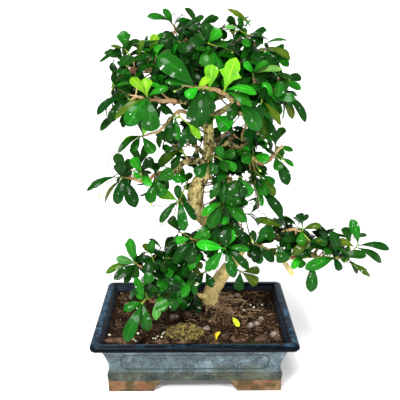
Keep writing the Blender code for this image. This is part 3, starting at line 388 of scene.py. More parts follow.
@dataclass(frozen=True)
class Glaze:
    """Thick glaze over dark clay, mottled where it pooled and run thin."""

    name: str
    deep: Colour
    mid: Colour
    bright: Colour
    cloud_scale: float = 70.0
    bright_from: float = 0.56
    bright_share: float = 0.9
    panel: bool = False
    algae: float = 0.0
    roughness: float = 0.24
    pools: bool = False
    coat: float = 0.10
    specular: float = 0.12

    def beyond(self, mixing: Recipe, first: Socket, second: Socket, halves: tuple[float, float],
               corner: float) -> Socket:
        """Distance out from a rounded rectangle's line, less than 0 inside it.

        Args:
            mixing: The recipe that it goes into.
            first: Place along one direction, from the rectangle's middle.
            second: Place along the other.
            halves: Half its sizes.
            corner: Its corner radius.

        Returns:
            The value socket.
        """
        over_first = mixing.calc("SUBTRACT", mixing.calc("ABSOLUTE", first), halves[0] - corner)
        over_second = mixing.calc("SUBTRACT", mixing.calc("ABSOLUTE", second), halves[1] - corner)
        out_first = mixing.calc("MAXIMUM", over_first, 0.0)
        out_second = mixing.calc("MAXIMUM", over_second, 0.0)
        reach = mixing.calc("SQRT", mixing.calc("ADD", mixing.calc("MULTIPLY", out_first, out_first),
                                              mixing.calc("MULTIPLY", out_second, out_second)))
        inside = mixing.calc("MINIMUM", mixing.calc("MAXIMUM", over_first, over_second), 0.0)
        return mixing.calc("SUBTRACT", mixing.calc("ADD", reach, inside), corner)

    def pooled(self, mixing: Recipe) -> Socket:
        """Where the glaze of the rim pooled, along the middle of its top and most at the pot's sides: 0 to 1.

        Args:
            mixing: The recipe that it goes into.

        Returns:
            The value socket.
        """
        x, y, _ = mixing.parts(mixing.coords((1, 1, 1), tuple(-POT_PLACE)))
        out = self.beyond(mixing, x, y, (0.125, 0.092), 0.009)
        out = mixing.calc("ADD", out, mixing.calc("MULTIPLY", mixing.noise(95.0, 3.0), 0.003))
        band = mixing.calc("MULTIPLY", mixing.between(out, 0.0005, -0.0015),
                           mixing.between(out, -0.0085, -0.0065))
        return mixing.calc("MULTIPLY", band, mixing.between(mixing.calc("ABSOLUTE", x), 0.095, 0.116, 0.45, 1.0))

    def groove(self, mixing: Recipe) -> Socket:
        """The line of the panel incised in the long walls: 1 in the line.

        Args:
            mixing: The recipe that it goes into.

        Returns:
            The value socket.
        """
        run, _, rise = mixing.parts(mixing.coords((1, 1, 1), (-POT_PLACE.x, -POT_PLACE.y, -0.0425)))
        away = mixing.calc("ABSOLUTE", self.beyond(mixing, run, rise, (0.0895, 0.0115), 0.0080))
        return mixing.between(away, 0.0004, 0.0013, 1.0, 0.0)

    def material(self) -> bpy.types.Material:
        """Mix the material."""
        mixing = Recipe(self.name)
        _, _, height = mixing.parts(mixing.object_coords)
        cloud = mixing.noise(self.cloud_scale, 6.0, None, 0.5)
        speck = mixing.noise(650.0, 5.0)
        spot = mixing.noise(1700.0, 2.0)
        base = mixing.mix(mixing.between(cloud, 0.36, 0.58), self.deep, self.mid)
        base = mixing.mix(mixing.between(cloud, self.bright_from, self.bright_from + 0.12, 0.0,
                                         self.bright_share), base, self.bright)
        base = mixing.mix(mixing.between(speck, 0.50, 0.66, 0.0, 0.7), base, self.bright)
        if self.pools:
            base = mixing.mix(self.pooled(mixing), self.deep, base)
        base = mixing.mix(mixing.between(speck, 0.47, 0.34, 0.0, 0.75), base, self.deep)
        base = mixing.mix(mixing.between(spot, 0.62, 0.72, 0.0, 0.5), base, self.bright)
        if self.algae:
            stain = mixing.calc("MULTIPLY", mixing.between(mixing.noise(34.0, 6.0), 0.34, 0.62),
                               mixing.between(height, 0.044, 0.020, 0.0, self.algae))
            base = mixing.mix(stain, base, (0.060, 0.062, 0.024))
            drip = mixing.calc("MULTIPLY", mixing.between(mixing.noise(26.0, 4.0, mixing.coords((1, 1, 0.25))),
                                                         0.56, 0.70), self.algae * 0.5)
            base = mixing.mix(drip, base, (0.075, 0.078, 0.038))
        relief = mixing.bump(mixing.noise(260.0, 3.0), 0.25, 0.0006)
        if self.panel:
            line = self.groove(mixing)
            # Painted shade: the incised line is darkened
            base = mixing.mix(mixing.calc("MULTIPLY", line, 0.85), base, (0.032, 0.048, 0.050))
            relief = mixing.bump(mixing.calc("SUBTRACT", 1.0, line), 1.0, 0.0009, relief)
        rough = mixing.between(speck, 0.35, 0.7, self.roughness, self.roughness + 0.22)
        return mixing.done(base, rough, relief, Coat_Weight=self.coat, Coat_Roughness=0.10,
                           Specular_IOR_Level=self.specular)


@dataclass(frozen=True)
class Terracotta:
    """Bare fired clay, stained by algae and water."""

    name: str = "terracotta"
    clay: Colour = (0.150, 0.066, 0.033)
    pale: Colour = (0.180, 0.115, 0.060)
    stain: Colour = (0.050, 0.040, 0.019)

    def material(self) -> bpy.types.Material:
        """Mix the material."""
        mixing = Recipe(self.name)
        cloud = mixing.noise(60.0, 6.0)
        fine = mixing.noise(700.0, 5.0)
        base = mixing.mix(mixing.between(mixing.noise(110.0, 5.0), 0.4, 0.62), self.clay, self.pale)
        base = mixing.mix(mixing.between(cloud, 0.40, 0.56, 0.0, 0.9), base, self.stain)
        base = mixing.mix(mixing.between(fine, 0.52, 0.68, 0.0, 0.6), base, (0.05, 0.035, 0.02))
        base = mixing.mix(mixing.between(mixing.noise(1600.0, 2.0), 0.62, 0.7, 0.0, 0.6), base, (0.40, 0.29, 0.19))
        return mixing.done(base, 0.88, mixing.bump(fine, 0.6, 0.0009), Specular_IOR_Level=0.06)


@dataclass(frozen=True)
class Speckled:
    """A matte finish of two colours with darker specks, for soil, stones, chips and the like."""

    name: str
    first: Colour
    second: Colour
    dark: Colour
    scale: float = 160.0
    speck_scale: float = 900.0
    dark_share: float = 0.6
    roughness: float = 0.9
    depth: float = 0.0008

    def material(self) -> bpy.types.Material:
        """Mix the material."""
        mixing = Recipe(self.name)
        cloud = mixing.noise(self.scale, 5.0, None, 0.4)
        speck = mixing.noise(self.speck_scale, 4.0)
        base = mixing.mix(mixing.between(cloud, 0.40, 0.60), self.first, self.second)
        base = mixing.mix(mixing.between(speck, 0.48, 0.64, 0.0, self.dark_share), base, self.dark)
        return mixing.done(base, self.roughness, mixing.bump(speck, 0.7, self.depth), Specular_IOR_Level=0.06)


@dataclass(frozen=True)
class SoilGround:
    """Damp peat and coir, with painted shade in its hollows, and patches of moss."""

    name: str = "soil_ground"
    peat: Colour = (0.0030, 0.0018, 0.0012)
    coir: Colour = (0.0150, 0.0075, 0.0042)
    moss: Colour = (0.034, 0.036, 0.006)

    def material(self) -> bpy.types.Material:
        """Mix the material."""
        mixing = Recipe(self.name)
        cloud = mixing.noise(85.0, 6.0, None, 0.8)
        fibre = mixing.noise(700.0, 5.0, mixing.coords((1.0, 0.35, 1.0)), 2.0)
        cross = mixing.noise(700.0, 5.0, mixing.coords((0.35, 1.0, 1.0)), 2.0)
        base = mixing.mix(mixing.between(cloud, 0.38, 0.62), self.peat, self.coir)
        base = mixing.mix(mixing.between(fibre, 0.60, 0.67, 0.0, 0.7), base, (0.15, 0.08, 0.04))
        base = mixing.mix(mixing.between(cross, 0.62, 0.69, 0.0, 0.6), base, (0.22, 0.13, 0.07))
        base = mixing.mix(mixing.between(mixing.noise(46.0, 5.0), 0.56, 0.66, 0.0, 0.75), base, self.moss)
        # Painted shade: near-black laid in the hollows of the cross fibres
        base = mixing.mix(mixing.between(cross, 0.44, 0.36, 0.0, 0.8), base, (0.010, 0.006, 0.004))
        relief = mixing.bump(fibre, 0.9, 0.0014)
        relief = mixing.bump(cross, 0.9, 0.0014, relief)
        return mixing.done(base, 0.95, relief, Specular_IOR_Level=0.04)


@dataclass(frozen=True)
class Plain:
    """A fine-grained finish of one colour, clouded a little, for petals, buds and plastic."""

    name: str
    colour: Colour
    shade: Colour
    roughness: float = 0.45
    scale: float = 260.0

    def material(self) -> bpy.types.Material:
        """Mix the material."""
        mixing = Recipe(self.name)
        cloud = mixing.noise(self.scale, 4.0)
        base = mixing.mix(mixing.between(cloud, 0.40, 0.66), self.colour, self.shade)
        rough = mixing.between(cloud, 0.3, 0.7, self.roughness - 0.05, self.roughness + 0.1)
        return mixing.done(base, rough, mixing.bump(mixing.noise(1800.0, 2.0), 0.3, 0.0003))


class Finishes:
    """The finishes of the tree and its pot, each mixed once."""

    LEAF = LeafSkin()
    UNDERLEAF = LeafSkin("leaf_underside", 1.25, 0.6, 0.55, 0.0, 0.05, 0.30)
    BARK = Bark()
    TWIG = TwigBark("twig_bark")
    STEM = TwigBark("green_stem", (0.10, 0.17, 0.02), (0.22, 0.36, 0.04), (0.30, 0.16, 0.06))
    BODY = Glaze("body_glaze", (0.032, 0.048, 0.052), (0.074, 0.112, 0.130), (0.170, 0.230, 0.262),
                 panel=True, algae=0.8, roughness=0.30)
    BEAD = Glaze("bead_glaze", (0.009, 0.012, 0.012), (0.024, 0.034, 0.033), (0.085, 0.110, 0.108),
                 algae=0.55, roughness=0.30)
    RIM = Glaze("rim_glaze", (0.0012, 0.0018, 0.0035), (0.006, 0.014, 0.024), (0.022, 0.066, 0.112),
                cloud_scale=80.0, bright_from=0.47, bright_share=0.85, roughness=0.14, pools=True, coat=0.03,
                specular=0.04)
    INNER = Glaze("inner_glaze", (0.004, 0.005, 0.008), (0.010, 0.014, 0.022), (0.035, 0.055, 0.085),
                  cloud_scale=48.0, bright_from=0.62, bright_share=0.6, roughness=0.22, coat=0.03,
                  specular=0.05)
    CLAY = Terracotta()
    GROUND = SoilGround()
    CRUMB = Speckled("soil_crumb", (0.0040, 0.0024, 0.0016), (0.048, 0.026, 0.014), (0.002, 0.0014, 0.001))
    BITS = Speckled("bark_bits", (0.34, 0.22, 0.13), (0.13, 0.075, 0.042), (0.02, 0.012, 0.008), 200.0)
    FIBRE = Speckled("root_fibre", (0.22, 0.135, 0.07), (0.040, 0.020, 0.010), (0.012, 0.006, 0.004), 55.0)
    ROOT = Speckled("root_skin", (0.50, 0.36, 0.20), (0.24, 0.145, 0.08), (0.06, 0.03, 0.016), 50.0, 600.0, 0.6)
    MOSS = Speckled("moss", (0.210, 0.175, 0.045), (0.085, 0.052, 0.026), (0.008, 0.006, 0.003), 200.0, 620.0, 0.95)
    CHIP = Speckled("bark_chip", (0.155, 0.088, 0.055), (0.052, 0.031, 0.020), (0.010, 0.006, 0.004), 130.0)
    PEBBLE = Speckled("pebble", (0.25, 0.205, 0.165), (0.105, 0.080, 0.062), (0.025, 0.018, 0.013), 130.0, 600.0, 0.7)
    PERLITE = Speckled("perlite", (0.62, 0.72, 0.36), (0.80, 0.82, 0.62), (0.40, 0.42, 0.22), 400.0, 1500.0, 0.3)
    PETAL = Plain("petal", (0.84, 0.86, 0.80), (0.74, 0.80, 0.62), 0.5)
    BUD = Plain("bud", (0.34, 0.56, 0.04), (0.56, 0.70, 0.22), 0.4, 500.0)
    HEART = Plain("flower_heart", (0.62, 0.66, 0.12), (0.46, 0.50, 0.06), 0.6)
    SCREEN = Plain("screen_plastic", (0.014, 0.014, 0.014), (0.022, 0.022, 0.021), 0.5, 120.0)
    WISP = Plain("dry_wisp", (0.16, 0.16, 0.09), (0.07, 0.075, 0.04), 0.7, 300.0)

    mixed: dict[str, bpy.types.Material] = {}

    @classmethod
    def mix(cls, finish: object) -> bpy.types.Material:
        """The material of a finish, mixed on its first use."""
        if finish.name not in cls.mixed:
            cls.mixed[finish.name] = finish.material()
        return cls.mixed[finish.name]


class Tone(Enum):
    """Colour of a leaf."""

    DARK = "D"
    MID = "M"
    GREEN = "G"
    LIME = "L"
    OLIVE = "O"
    SHINY = "S"
    PALE = "P"
    YELLOW = "Y"
    CITRON = "C"
    WHITE = "W"

    @property
    def colour(self) -> Colour:
        """The tone's base colour."""
        return {"D": (0.0032, 0.036, 0.0022), "M": (0.0065, 0.090, 0.0038), "G": (0.011, 0.205, 0.006),
                "L": (0.115, 0.350, 0.012), "O": (0.034, 0.078, 0.004), "S": (0.005, 0.060, 0.004),
                "P": (0.070, 0.220, 0.040), "Y": (0.66, 0.48, 0.015), "C": (0.44, 0.54, 0.030),
                "W": (0.85, 0.87, 0.80)}[self.value]


def dress(name: str, mesh: bpy.types.Mesh, finishes: Iterable[object],
          nodes: Iterable[str] = ()) -> bpy.types.Object:
    """Put a finished mesh at its place as a piece of the tree.

    Args:
        name: The piece's name.
        mesh: Its mesh, round the middle of the pot.
        finishes: Its finishes, in the order of the faces' material indices.
        nodes: The CAD nodes that it stands for.

    Returns:
        The piece.
    """
    mesh.transform(Matrix.Translation(POT_PLACE))
    for finish in finishes:
        mesh.materials.append(Finishes.mix(finish))
    piece = bpy.data.objects.new(name, mesh)
    bpy.context.scene.collection.objects.link(piece)
    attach(piece, "root")
    if nodes:
        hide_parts(*nodes)
    LOG.info("%s: %d faces", name, len(mesh.polygons))
    return piece


def close_bmesh(bm: bmesh.types.BMesh, name: str, smooth: bool = True) -> bpy.types.Mesh:
    """Turn a bmesh into a mesh.

    Args:
        bm: The bmesh, which is freed.
        name: The mesh's name.
        smooth: Shade its faces smooth.

    Returns:
        The mesh.
    """
    for face in bm.faces:
        face.smooth = smooth
    mesh = bpy.data.meshes.new(name)
    bm.to_mesh(mesh)
    bm.free()
    return mesh


@dataclass(frozen=True)
class PhotoView:
    """The photograph's viewpoint, from the middle of the pot, and its square frame in pixels."""

    side: float = 400.0
    focal: float = 616.0
    middle_column: float = 194.2
    back: float = 0.7295
    height: float = 0.455
    sensor: float = 36.0

    def project(self, point: Vector) -> tuple[float, float]:
        """Column and row at which a point is seen."""
        out, down = point.y + self.back, self.height - point.z
        sine, cosine = math.sin(VIEW_TILT), math.cos(VIEW_TILT)
        away = out * cosine + down * sine
        return (self.middle_column + self.focal * point.x / away,
                self.side / 2 + self.focal * (down * cosine - out * sine) / away)

    def place(self, column: float, row: float, depth: float) -> Vector:
        """Point that is seen at a column and row, at a depth behind the pot's middle in mm."""
        out = depth * MM + self.back
        sine, cosine = math.sin(VIEW_TILT), math.cos(VIEW_TILT)
        slope = (row - self.side / 2) / self.focal
        down = (out * sine + slope * out * cosine) / (cosine - slope * sine)
        away = out * cosine + down * sine
        return Vector(((column - self.middle_column) * away / self.focal, depth * MM, self.height - down))

    def on_level(self, column: float, row: float, level: float) -> Vector:
        """Point that is seen at a column and row, at a height above the ground in metres."""
        down = self.height - level
        sine, cosine = math.sin(VIEW_TILT), math.cos(VIEW_TILT)
        slope = (row - self.side / 2) / self.focal
        out = down * (cosine - slope * sine) / (slope * cosine + sine)
        away = out * cosine + down * sine
        return Vector(((column - self.middle_column) * away / self.focal, out - self.back, level))


VIEW = PhotoView()


class Strands:
    """Round strands drawn as one curve and made one mesh."""

    def __init__(self, name: str, fineness: int = 1) -> None:
        """Start with no strand.

        Args:
            name: Name of the curve.
            fineness: Steps in a quarter of the round section.
        """
        self.name = name
        self.curve = bpy.data.curves.new(name, "CURVE")
        self.curve.dimensions = "3D"
        self.curve.bevel_depth = 1.0
        self.curve.bevel_resolution = fineness
        self.curve.use_fill_caps = True

    def add(self, points: list[Vector], radii: list[float]) -> None:
        """Draw a strand.

        Args:
            points: Its course, in metres.
            radii: Its radius at each point, in metres.
        """
        spline = self.curve.splines.new("POLY")
        spline.points.add(len(points) - 1)
        for knot, point, radius in zip(spline.points, points, radii):
            knot.co = (*point, 1.0)
            knot.radius = radius

    def mesh(self) -> bpy.types.Mesh:
        """The strands as a mesh with outward faces."""
        item = bpy.data.objects.new(self.name, self.curve)
        bpy.context.scene.collection.objects.link(item)
        graph = bpy.context.evaluated_depsgraph_get()
        raw = bpy.data.meshes.new_from_object(item.evaluated_get(graph))
        bpy.data.objects.remove(item, do_unlink=True)
        bm = bmesh.new()
        bm.from_mesh(raw)
        bmesh.ops.remove_doubles(bm, verts=bm.verts, dist=1e-7)
        bmesh.ops.recalc_face_normals(bm, faces=bm.faces)
        return close_bmesh(bm, self.name)


def flowing(points: list[Vector], values: list[float], steps: int) -> tuple[list[Vector], list[float]]:
    """A smooth course through points, with a value that follows it.

    Args:
        points: Points that it passes through.
        values: A value at each point.
        steps: Steps from one point to the next.

    Returns:
        The course and its values.
    """
    course: list[Vector] = []
    along: list[float] = []
    for index in range(len(points) - 1):
        before = points[max(index - 1, 0)]
        start, end = points[index], points[index + 1]
        after = points[min(index + 2, len(points) - 1)]
        for step in range(steps):
            t = step / steps
            course.append(0.5 * (2 * start + (end - before) * t
                                 + (2 * before - 5 * start + 4 * end - after) * t * t
                                 + (3 * start - before - 3 * end + after) * t ** 3))
            along.append(values[index] + (values[index + 1] - values[index]) * t)
    course.append(points[-1].copy())
    along.append(values[-1])
    return course, along


# Leaves


class LeafShape(Enum):
    """Outline of a leaf, as stations of (share of the length, share of the half width) from stalk to tip."""

    SPOON = ((0.0, 0.07), (0.15, 0.14), (0.34, 0.46), (0.54, 0.78), (0.74, 0.98), (0.88, 0.96), (0.96, 0.62),
             (1.0, 0.10))
    SLIM = ((0.0, 0.09), (0.14, 0.18), (0.32, 0.56), (0.52, 0.88), (0.72, 1.0), (0.86, 0.86), (0.95, 0.50),
            (1.0, 0.08))
    TOOTHED = ((0.0, 0.07), (0.18, 0.16), (0.40, 0.56), (0.62, 0.92), (0.78, 1.0), (0.84, 0.66), (0.93, 0.52),
               (1.0, 0.06))
    LOBED = ((0.0, 0.06), (0.20, 0.16), (0.40, 0.46), (0.54, 1.0), (0.63, 0.62), (0.76, 0.66), (0.90, 0.46),
             (1.0, 0.06))
    PETAL = ((0.0, 0.30), (0.12, 0.40), (0.30, 0.66), (0.50, 0.90), (0.70, 1.0), (0.86, 0.86), (0.96, 0.50),
             (1.0, 0.10))


@dataclass(frozen=True)
class Blade:
    """One leaf blade: where it springs, where it ends, the way that it faces, its width and its looks."""

    base: Vector
    tip: Vector
    facing: Vector
    width: float
    colour: Colour
    shape: LeafShape
    arch: float = 0.16
    fold: float = 0.0
    curl: float = 0.0
    twist: float = 0.0
    thick: float = 0.00032

    def frame(self) -> tuple[Vector, Vector, Vector]:
        """The middle handle of the arched midrib, the way to the side, and the way up."""
        chord = self.tip - self.base
        along = chord.normalized()
        lift = self.facing - along * self.facing.dot(along)
        if lift.length < 0.1:
            lift = along.orthogonal()
        lift.normalize()
        return self.base + chord * 0.5 + lift * self.arch * chord.length * 2, along.cross(lift).normalized(), lift

    def midrib(self, share: float) -> Vector:
        """Point on the midrib at a share of the length."""
        handle = self.frame()[0]
        return self.base * (1 - share) ** 2 + handle * 2 * share * (1 - share) + self.tip * share * share

    def lay(self, verts: list[bmesh.types.BMVert]) -> None:
        """Move a leaf's flat vertices to this blade: x across, y the station, z below nought for the underside."""
        handle, across, _ = self.frame()
        length = (self.tip - self.base).length
        stations = []
        for share, half in self.shape.value:
            slope = (handle - self.base) * 2 * (1 - share) + (self.tip - handle) * 2 * share
            normal = across.cross(slope).normalized()
            turn = Matrix.Rotation(self.twist * share, 3, slope)
            point = self.base * (1 - share) ** 2 + handle * 2 * share * (1 - share) + self.tip * share * share
            stations.append((point - normal * self.curl * length * share ** 3, turn @ across, turn @ normal,
                             max(half * self.width / 2, 0.0004)))
        for vert in verts:
            x, y, z = vert.co
            point, side, normal, half = stations[round(y)]
            rise = self.fold * half * (abs(x) - 0.35)
            if abs(x) < 0.1 and 0 < round(y) < len(stations) - 1:
                rise -= 0.00022
            if z < 0:
                rise -= self.thick * (1.6 if abs(x) < 0.1 else 1.0)
            vert.co = point + side * x * half + normal * rise


class LeafCutter:
    """Cuts leaves from a flat pattern of a few dozen faces: an upper and a lower face joined at the margin."""

    ACROSS = 4
    ALONG = 7

    def __init__(self) -> None:
        """Make the pattern."""
        bm = bmesh.new()
        bm.loops.layers.uv.new("UVMap")
        bmesh.ops.create_grid(bm, x_segments=self.ACROSS, y_segments=self.ALONG, size=1.0, calc_uvs=True)
        margin = {vert for edge in bm.edges if edge.is_boundary for vert in edge.verts}
        inner = [vert.co.copy() for vert in bm.verts if vert not in margin]
        double = bmesh.ops.duplicate(bm, geom=bm.verts[:] + bm.edges[:] + bm.faces[:])["geom"]
        under = [item for item in double if isinstance(item, bmesh.types.BMFace)]
        bmesh.ops.reverse_faces(bm, faces=under)
        below = {vert for face in under for vert in face.verts}
        for vert in below:
            if any((vert.co - place).length < 1e-6 for place in inner):
                vert.co.z = -1.0
        for face in under:
            face.material_index = 1
        bmesh.ops.remove_doubles(bm, verts=bm.verts, dist=1e-5)
        for vert in bm.verts:
            vert.co.y = (vert.co.y + 1) / 2 * self.ALONG
        for edge in bm.edges:
            edge.smooth = len({face.material_index for face in edge.link_faces}) == 1
        for face in bm.faces:
            face.smooth = True
        self.pattern = bpy.data.meshes.new("leaf_pattern")
        bm.to_mesh(self.pattern)
        bm.free()

    def cut(self, blades: list[Blade], name: str) -> bpy.types.Mesh:
        """Leaves as one mesh, with their tones.

        Args:
            blades: The leaves.
            name: The mesh's name.

        Returns:
            The mesh.
        """
        bm = bmesh.new()
        bm.loops.layers.uv.new("UVMap")
        tone = bm.verts.layers.float_color.new("tone")
        for blade in blades:
            before = len(bm.verts)
            bm.from_mesh(self.pattern)
            bm.verts.ensure_lookup_table()
            verts = bm.verts[before:]
            blade.lay(verts)
            for vert in verts:
                vert[tone] = (*blade.colour, 1.0)
        mesh = bpy.data.meshes.new(name)
        bm.to_mesh(mesh)
        bm.free()
        return mesh


def joined(name: str, *meshes: tuple[bpy.types.Mesh, int]) -> bpy.types.Mesh:
    """Meshes joined in one, each keeping its faces' materials behind those of the meshes before it.

    Args:
        name: The new mesh's name.
        meshes: Pairs of a mesh and the index of its first material.

    Returns:
        The mesh.
    """
    bm = bmesh.new()
    for mesh, first in meshes:
        before = len(bm.faces)
        bm.from_mesh(mesh)
        bm.faces.ensure_lookup_table()
        for face in bm.faces[before:]:
            face.material_index += first
        bpy.data.meshes.remove(mesh)
    whole = bpy.data.meshes.new(name)
    bm.to_mesh(whole)
    bm.free()
    return whole


# The tree's table


@dataclass(frozen=True)
class Leaf:
    """A leaf as seen from the front: how far right and up its tip is of its root, its length and width in mm,
    how far it faces the eye rather than the sky, and its tone."""

    right: float
    up: float
    length: float
    width: float
    face: float
    tone: str


@dataclass(frozen=True)
class Head:
    """End of a stem that carries leaves: its place in mm, its leaves, and how many more grow by rule."""

    place: Colour
    leaves: tuple[Leaf, ...]
    more: int = 0


# Trunk and boughs: (x, y, z, radius) in mm along each, from its root to its tip
TRUNK = ((19, 33, 50, 7.5), (19, 33, 62, 8.5), (20, 33, 70, 10.4), (24, 33, 86, 10.6), (34, 32, 103, 9.6),
         (45, 30, 120, 9), (55, 27, 137, 9), (58, 24, 154, 9), (48, 21, 169, 9), (31, 18, 180, 9),
         (15, 15, 193, 9.2), (4, 13, 208, 10), (1, 11, 223, 10.6), (4, 10, 239, 9.8), (11, 9, 255, 8.6),
         (15, 8, 270, 7.5), (17, 6, 287, 7), (17, 4, 306, 6.2), (17, 2, 325, 5.6), (19, 0, 343, 5),
         (22, -2, 361, 4.4), (23, -2, 378, 3.6), (21, 0, 395, 2.8), (18, 2, 408, 2))
BOUGHS = {
    "low_left": ((22, 32, 76, 4), (-6, 15, 88, 3.6), (-26, -2, 99, 3.2), (-41, -15, 108, 3),
                 (-52, -24, 126, 2.4), (-60, -30, 144, 1.8), (-69, -34, 152, 1.3)),
    "low_left_front": ((-24, 0, 98, 2.2), (-39, -25, 105, 2), (-52, -45, 108, 1.5)),
    "low_left_rise": ((-5, 16, 88, 2.2), (-9, 0, 116, 2), (-10, -12, 144, 1.8), (-18, -20, 150, 1.4)),
    "mid_left": ((15, 8, 272, 4.5), (0, 2, 274, 3.8), (-14, -6, 274, 3.6), (-22, -12, 265, 4.2),
                 (-34, -18, 266, 2.6), (-46, -24, 265, 2.2), (-56, -28, 257, 1.8), (-69, -29, 259, 1.6),
                 (-82, -29, 263, 1.3)),
    "low_mid_left": ((0, 12, 217, 2.6), (-11, 2, 219, 2.2), (-19, -8, 224, 1.5)),
    "right_low": ((56, 26, 147, 5.5), (69, 16, 154, 4.6), (79, 8, 160, 4), (94, 3, 156, 3.2),
                  (118, -2, 148, 2.8), (147, -6, 151, 2.4), (176, -9, 150, 2), (194, -9, 156, 1.5)),
    "right_high": ((77, 9, 159, 3.2), (92, 5, 170, 3), (104, 2, 178, 2.6), (120, -3, 186, 2.2),
                   (137, -7, 189, 1.5)),
    "right_cut": ((108, -1, 152, 3.6), (119, -4, 136, 3.4), (126, -7, 125, 3)),
    "right_mid": ((17, 6, 285, 5), (28, 0, 293, 4.4), (40, -6, 298, 3.6), (56, -12, 292, 3.2),
                  (68, -15, 283, 2.8), (80, -16, 276, 2.6), (90, -15, 280, 2.4), (97, -14, 289, 2),
                  (105, -14, 297, 1.4)),
    "right_riser": ((57, -12, 290, 1.8), (56, -16, 309, 1.6), (61, -22, 327, 1.5), (52, -26, 339, 1.5)),
    "mid_front": ((11, 9, 253, 3.6), (24, -6, 254, 3), (39, -20, 254, 2.4), (51, -34, 263, 1.6)),
    "mid_low": ((23, -5, 254, 2.4), (34, -14, 242, 2), (39, -18, 223, 1.7), (40, -20, 203, 1.3)),
    "low_front": ((48, 21, 169, 3.2), (44, 2, 171, 2.6), (37, -18, 171, 2), (22, -26, 178, 1.6),
                  (5, -30, 183, 1.3)),
    "crown_front": ((18, 2, 327, 4.6), (32, -14, 338, 4), (43, -34, 350, 3), (34, -52, 363, 2.4),
                    (18, -64, 370, 2.2), (3, -70, 372, 1.8), (-13, -72, 376, 1.2)),
    "crown_left": ((19, 1, 337, 3.8), (2, -10, 346, 3.2), (-20, -24, 351, 2.6), (-38, -38, 354, 2.2),
                   (-52, -50, 357, 1.8), (-66, -50, 361, 1.3)),
    "crown_droop": ((17, 4, 312, 3.4), (2, -8, 326, 2.8), (-16, -24, 340, 2), (-31, -34, 327, 1.8),
                    (-41, -38, 319, 1.6), (-55, -41, 315, 1.3)),
    "crown_left_high": ((22, -2, 361, 3.2), (1, 0, 373, 2.8), (-26, -2, 379, 2.2), (-47, -8, 383, 1.9),
                        (-63, -14, 386, 1.6), (-76, -18, 389, 1.2)),
    "crown_left_rise": ((-46, -8, 383, 1.8), (-55, -8, 393, 1.6), (-64, -10, 399, 1.4), (-74, -9, 405, 1.2)),
    "crown_top_left": ((22, -2, 375, 2.8), (8, 6, 395, 2.4), (-4, 12, 410, 2), (-12, 14, 421, 1.7),
                       (-21, 13, 431, 1.2)),
    "crown_top_right": ((22, -2, 368, 3), (40, 4, 383, 2.4), (57, 9, 394, 2), (69, 10, 408, 1.7),
                        (69, 8, 422, 1.3)),
    "crown_right": ((20, 0, 349, 3.4), (40, 0, 355, 3), (57, -6, 359, 2.6), (70, -16, 365, 2),
                    (68, -24, 378, 1.4)),
    "crown_right_out": ((56, -5, 359, 2.4), (75, -4, 361, 2), (88, -6, 364, 1.7), (100, -8, 359, 1.3)),
    "crown_right_low": ((42, -33, 350, 2.4), (59, -36, 350, 2), (74, -36, 345, 1.4)),
    "crown_right_top": ((56, 9, 394, 1.8), (70, 6, 401, 1.5), (79, 4, 407, 1.2)),
    "back_left": ((19, 1, 345, 3.6), (4, 26, 356, 2.8), (-20, 46, 366, 2.2), (-34, 56, 371, 1.5)),
    "back_right": ((20, 0, 353, 3.4), (42, 26, 364, 2.8), (58, 40, 369, 2.2), (72, 50, 371, 1.5)),
    "back_top": ((22, -2, 370, 3), (22, 28, 388, 2.4), (20, 56, 398, 1.6)),
    "back_middle": ((16, 7, 278, 4), (2, 32, 286, 3), (-16, 54, 288, 2)),
    "back_middle_right": ((17, 6, 296, 3.6), (40, 32, 300, 2.8), (62, 54, 292, 1.8)),
    "back_low": ((58, 24, 158, 4), (64, 46, 171, 3), (59, 63, 177, 1.8)),
}

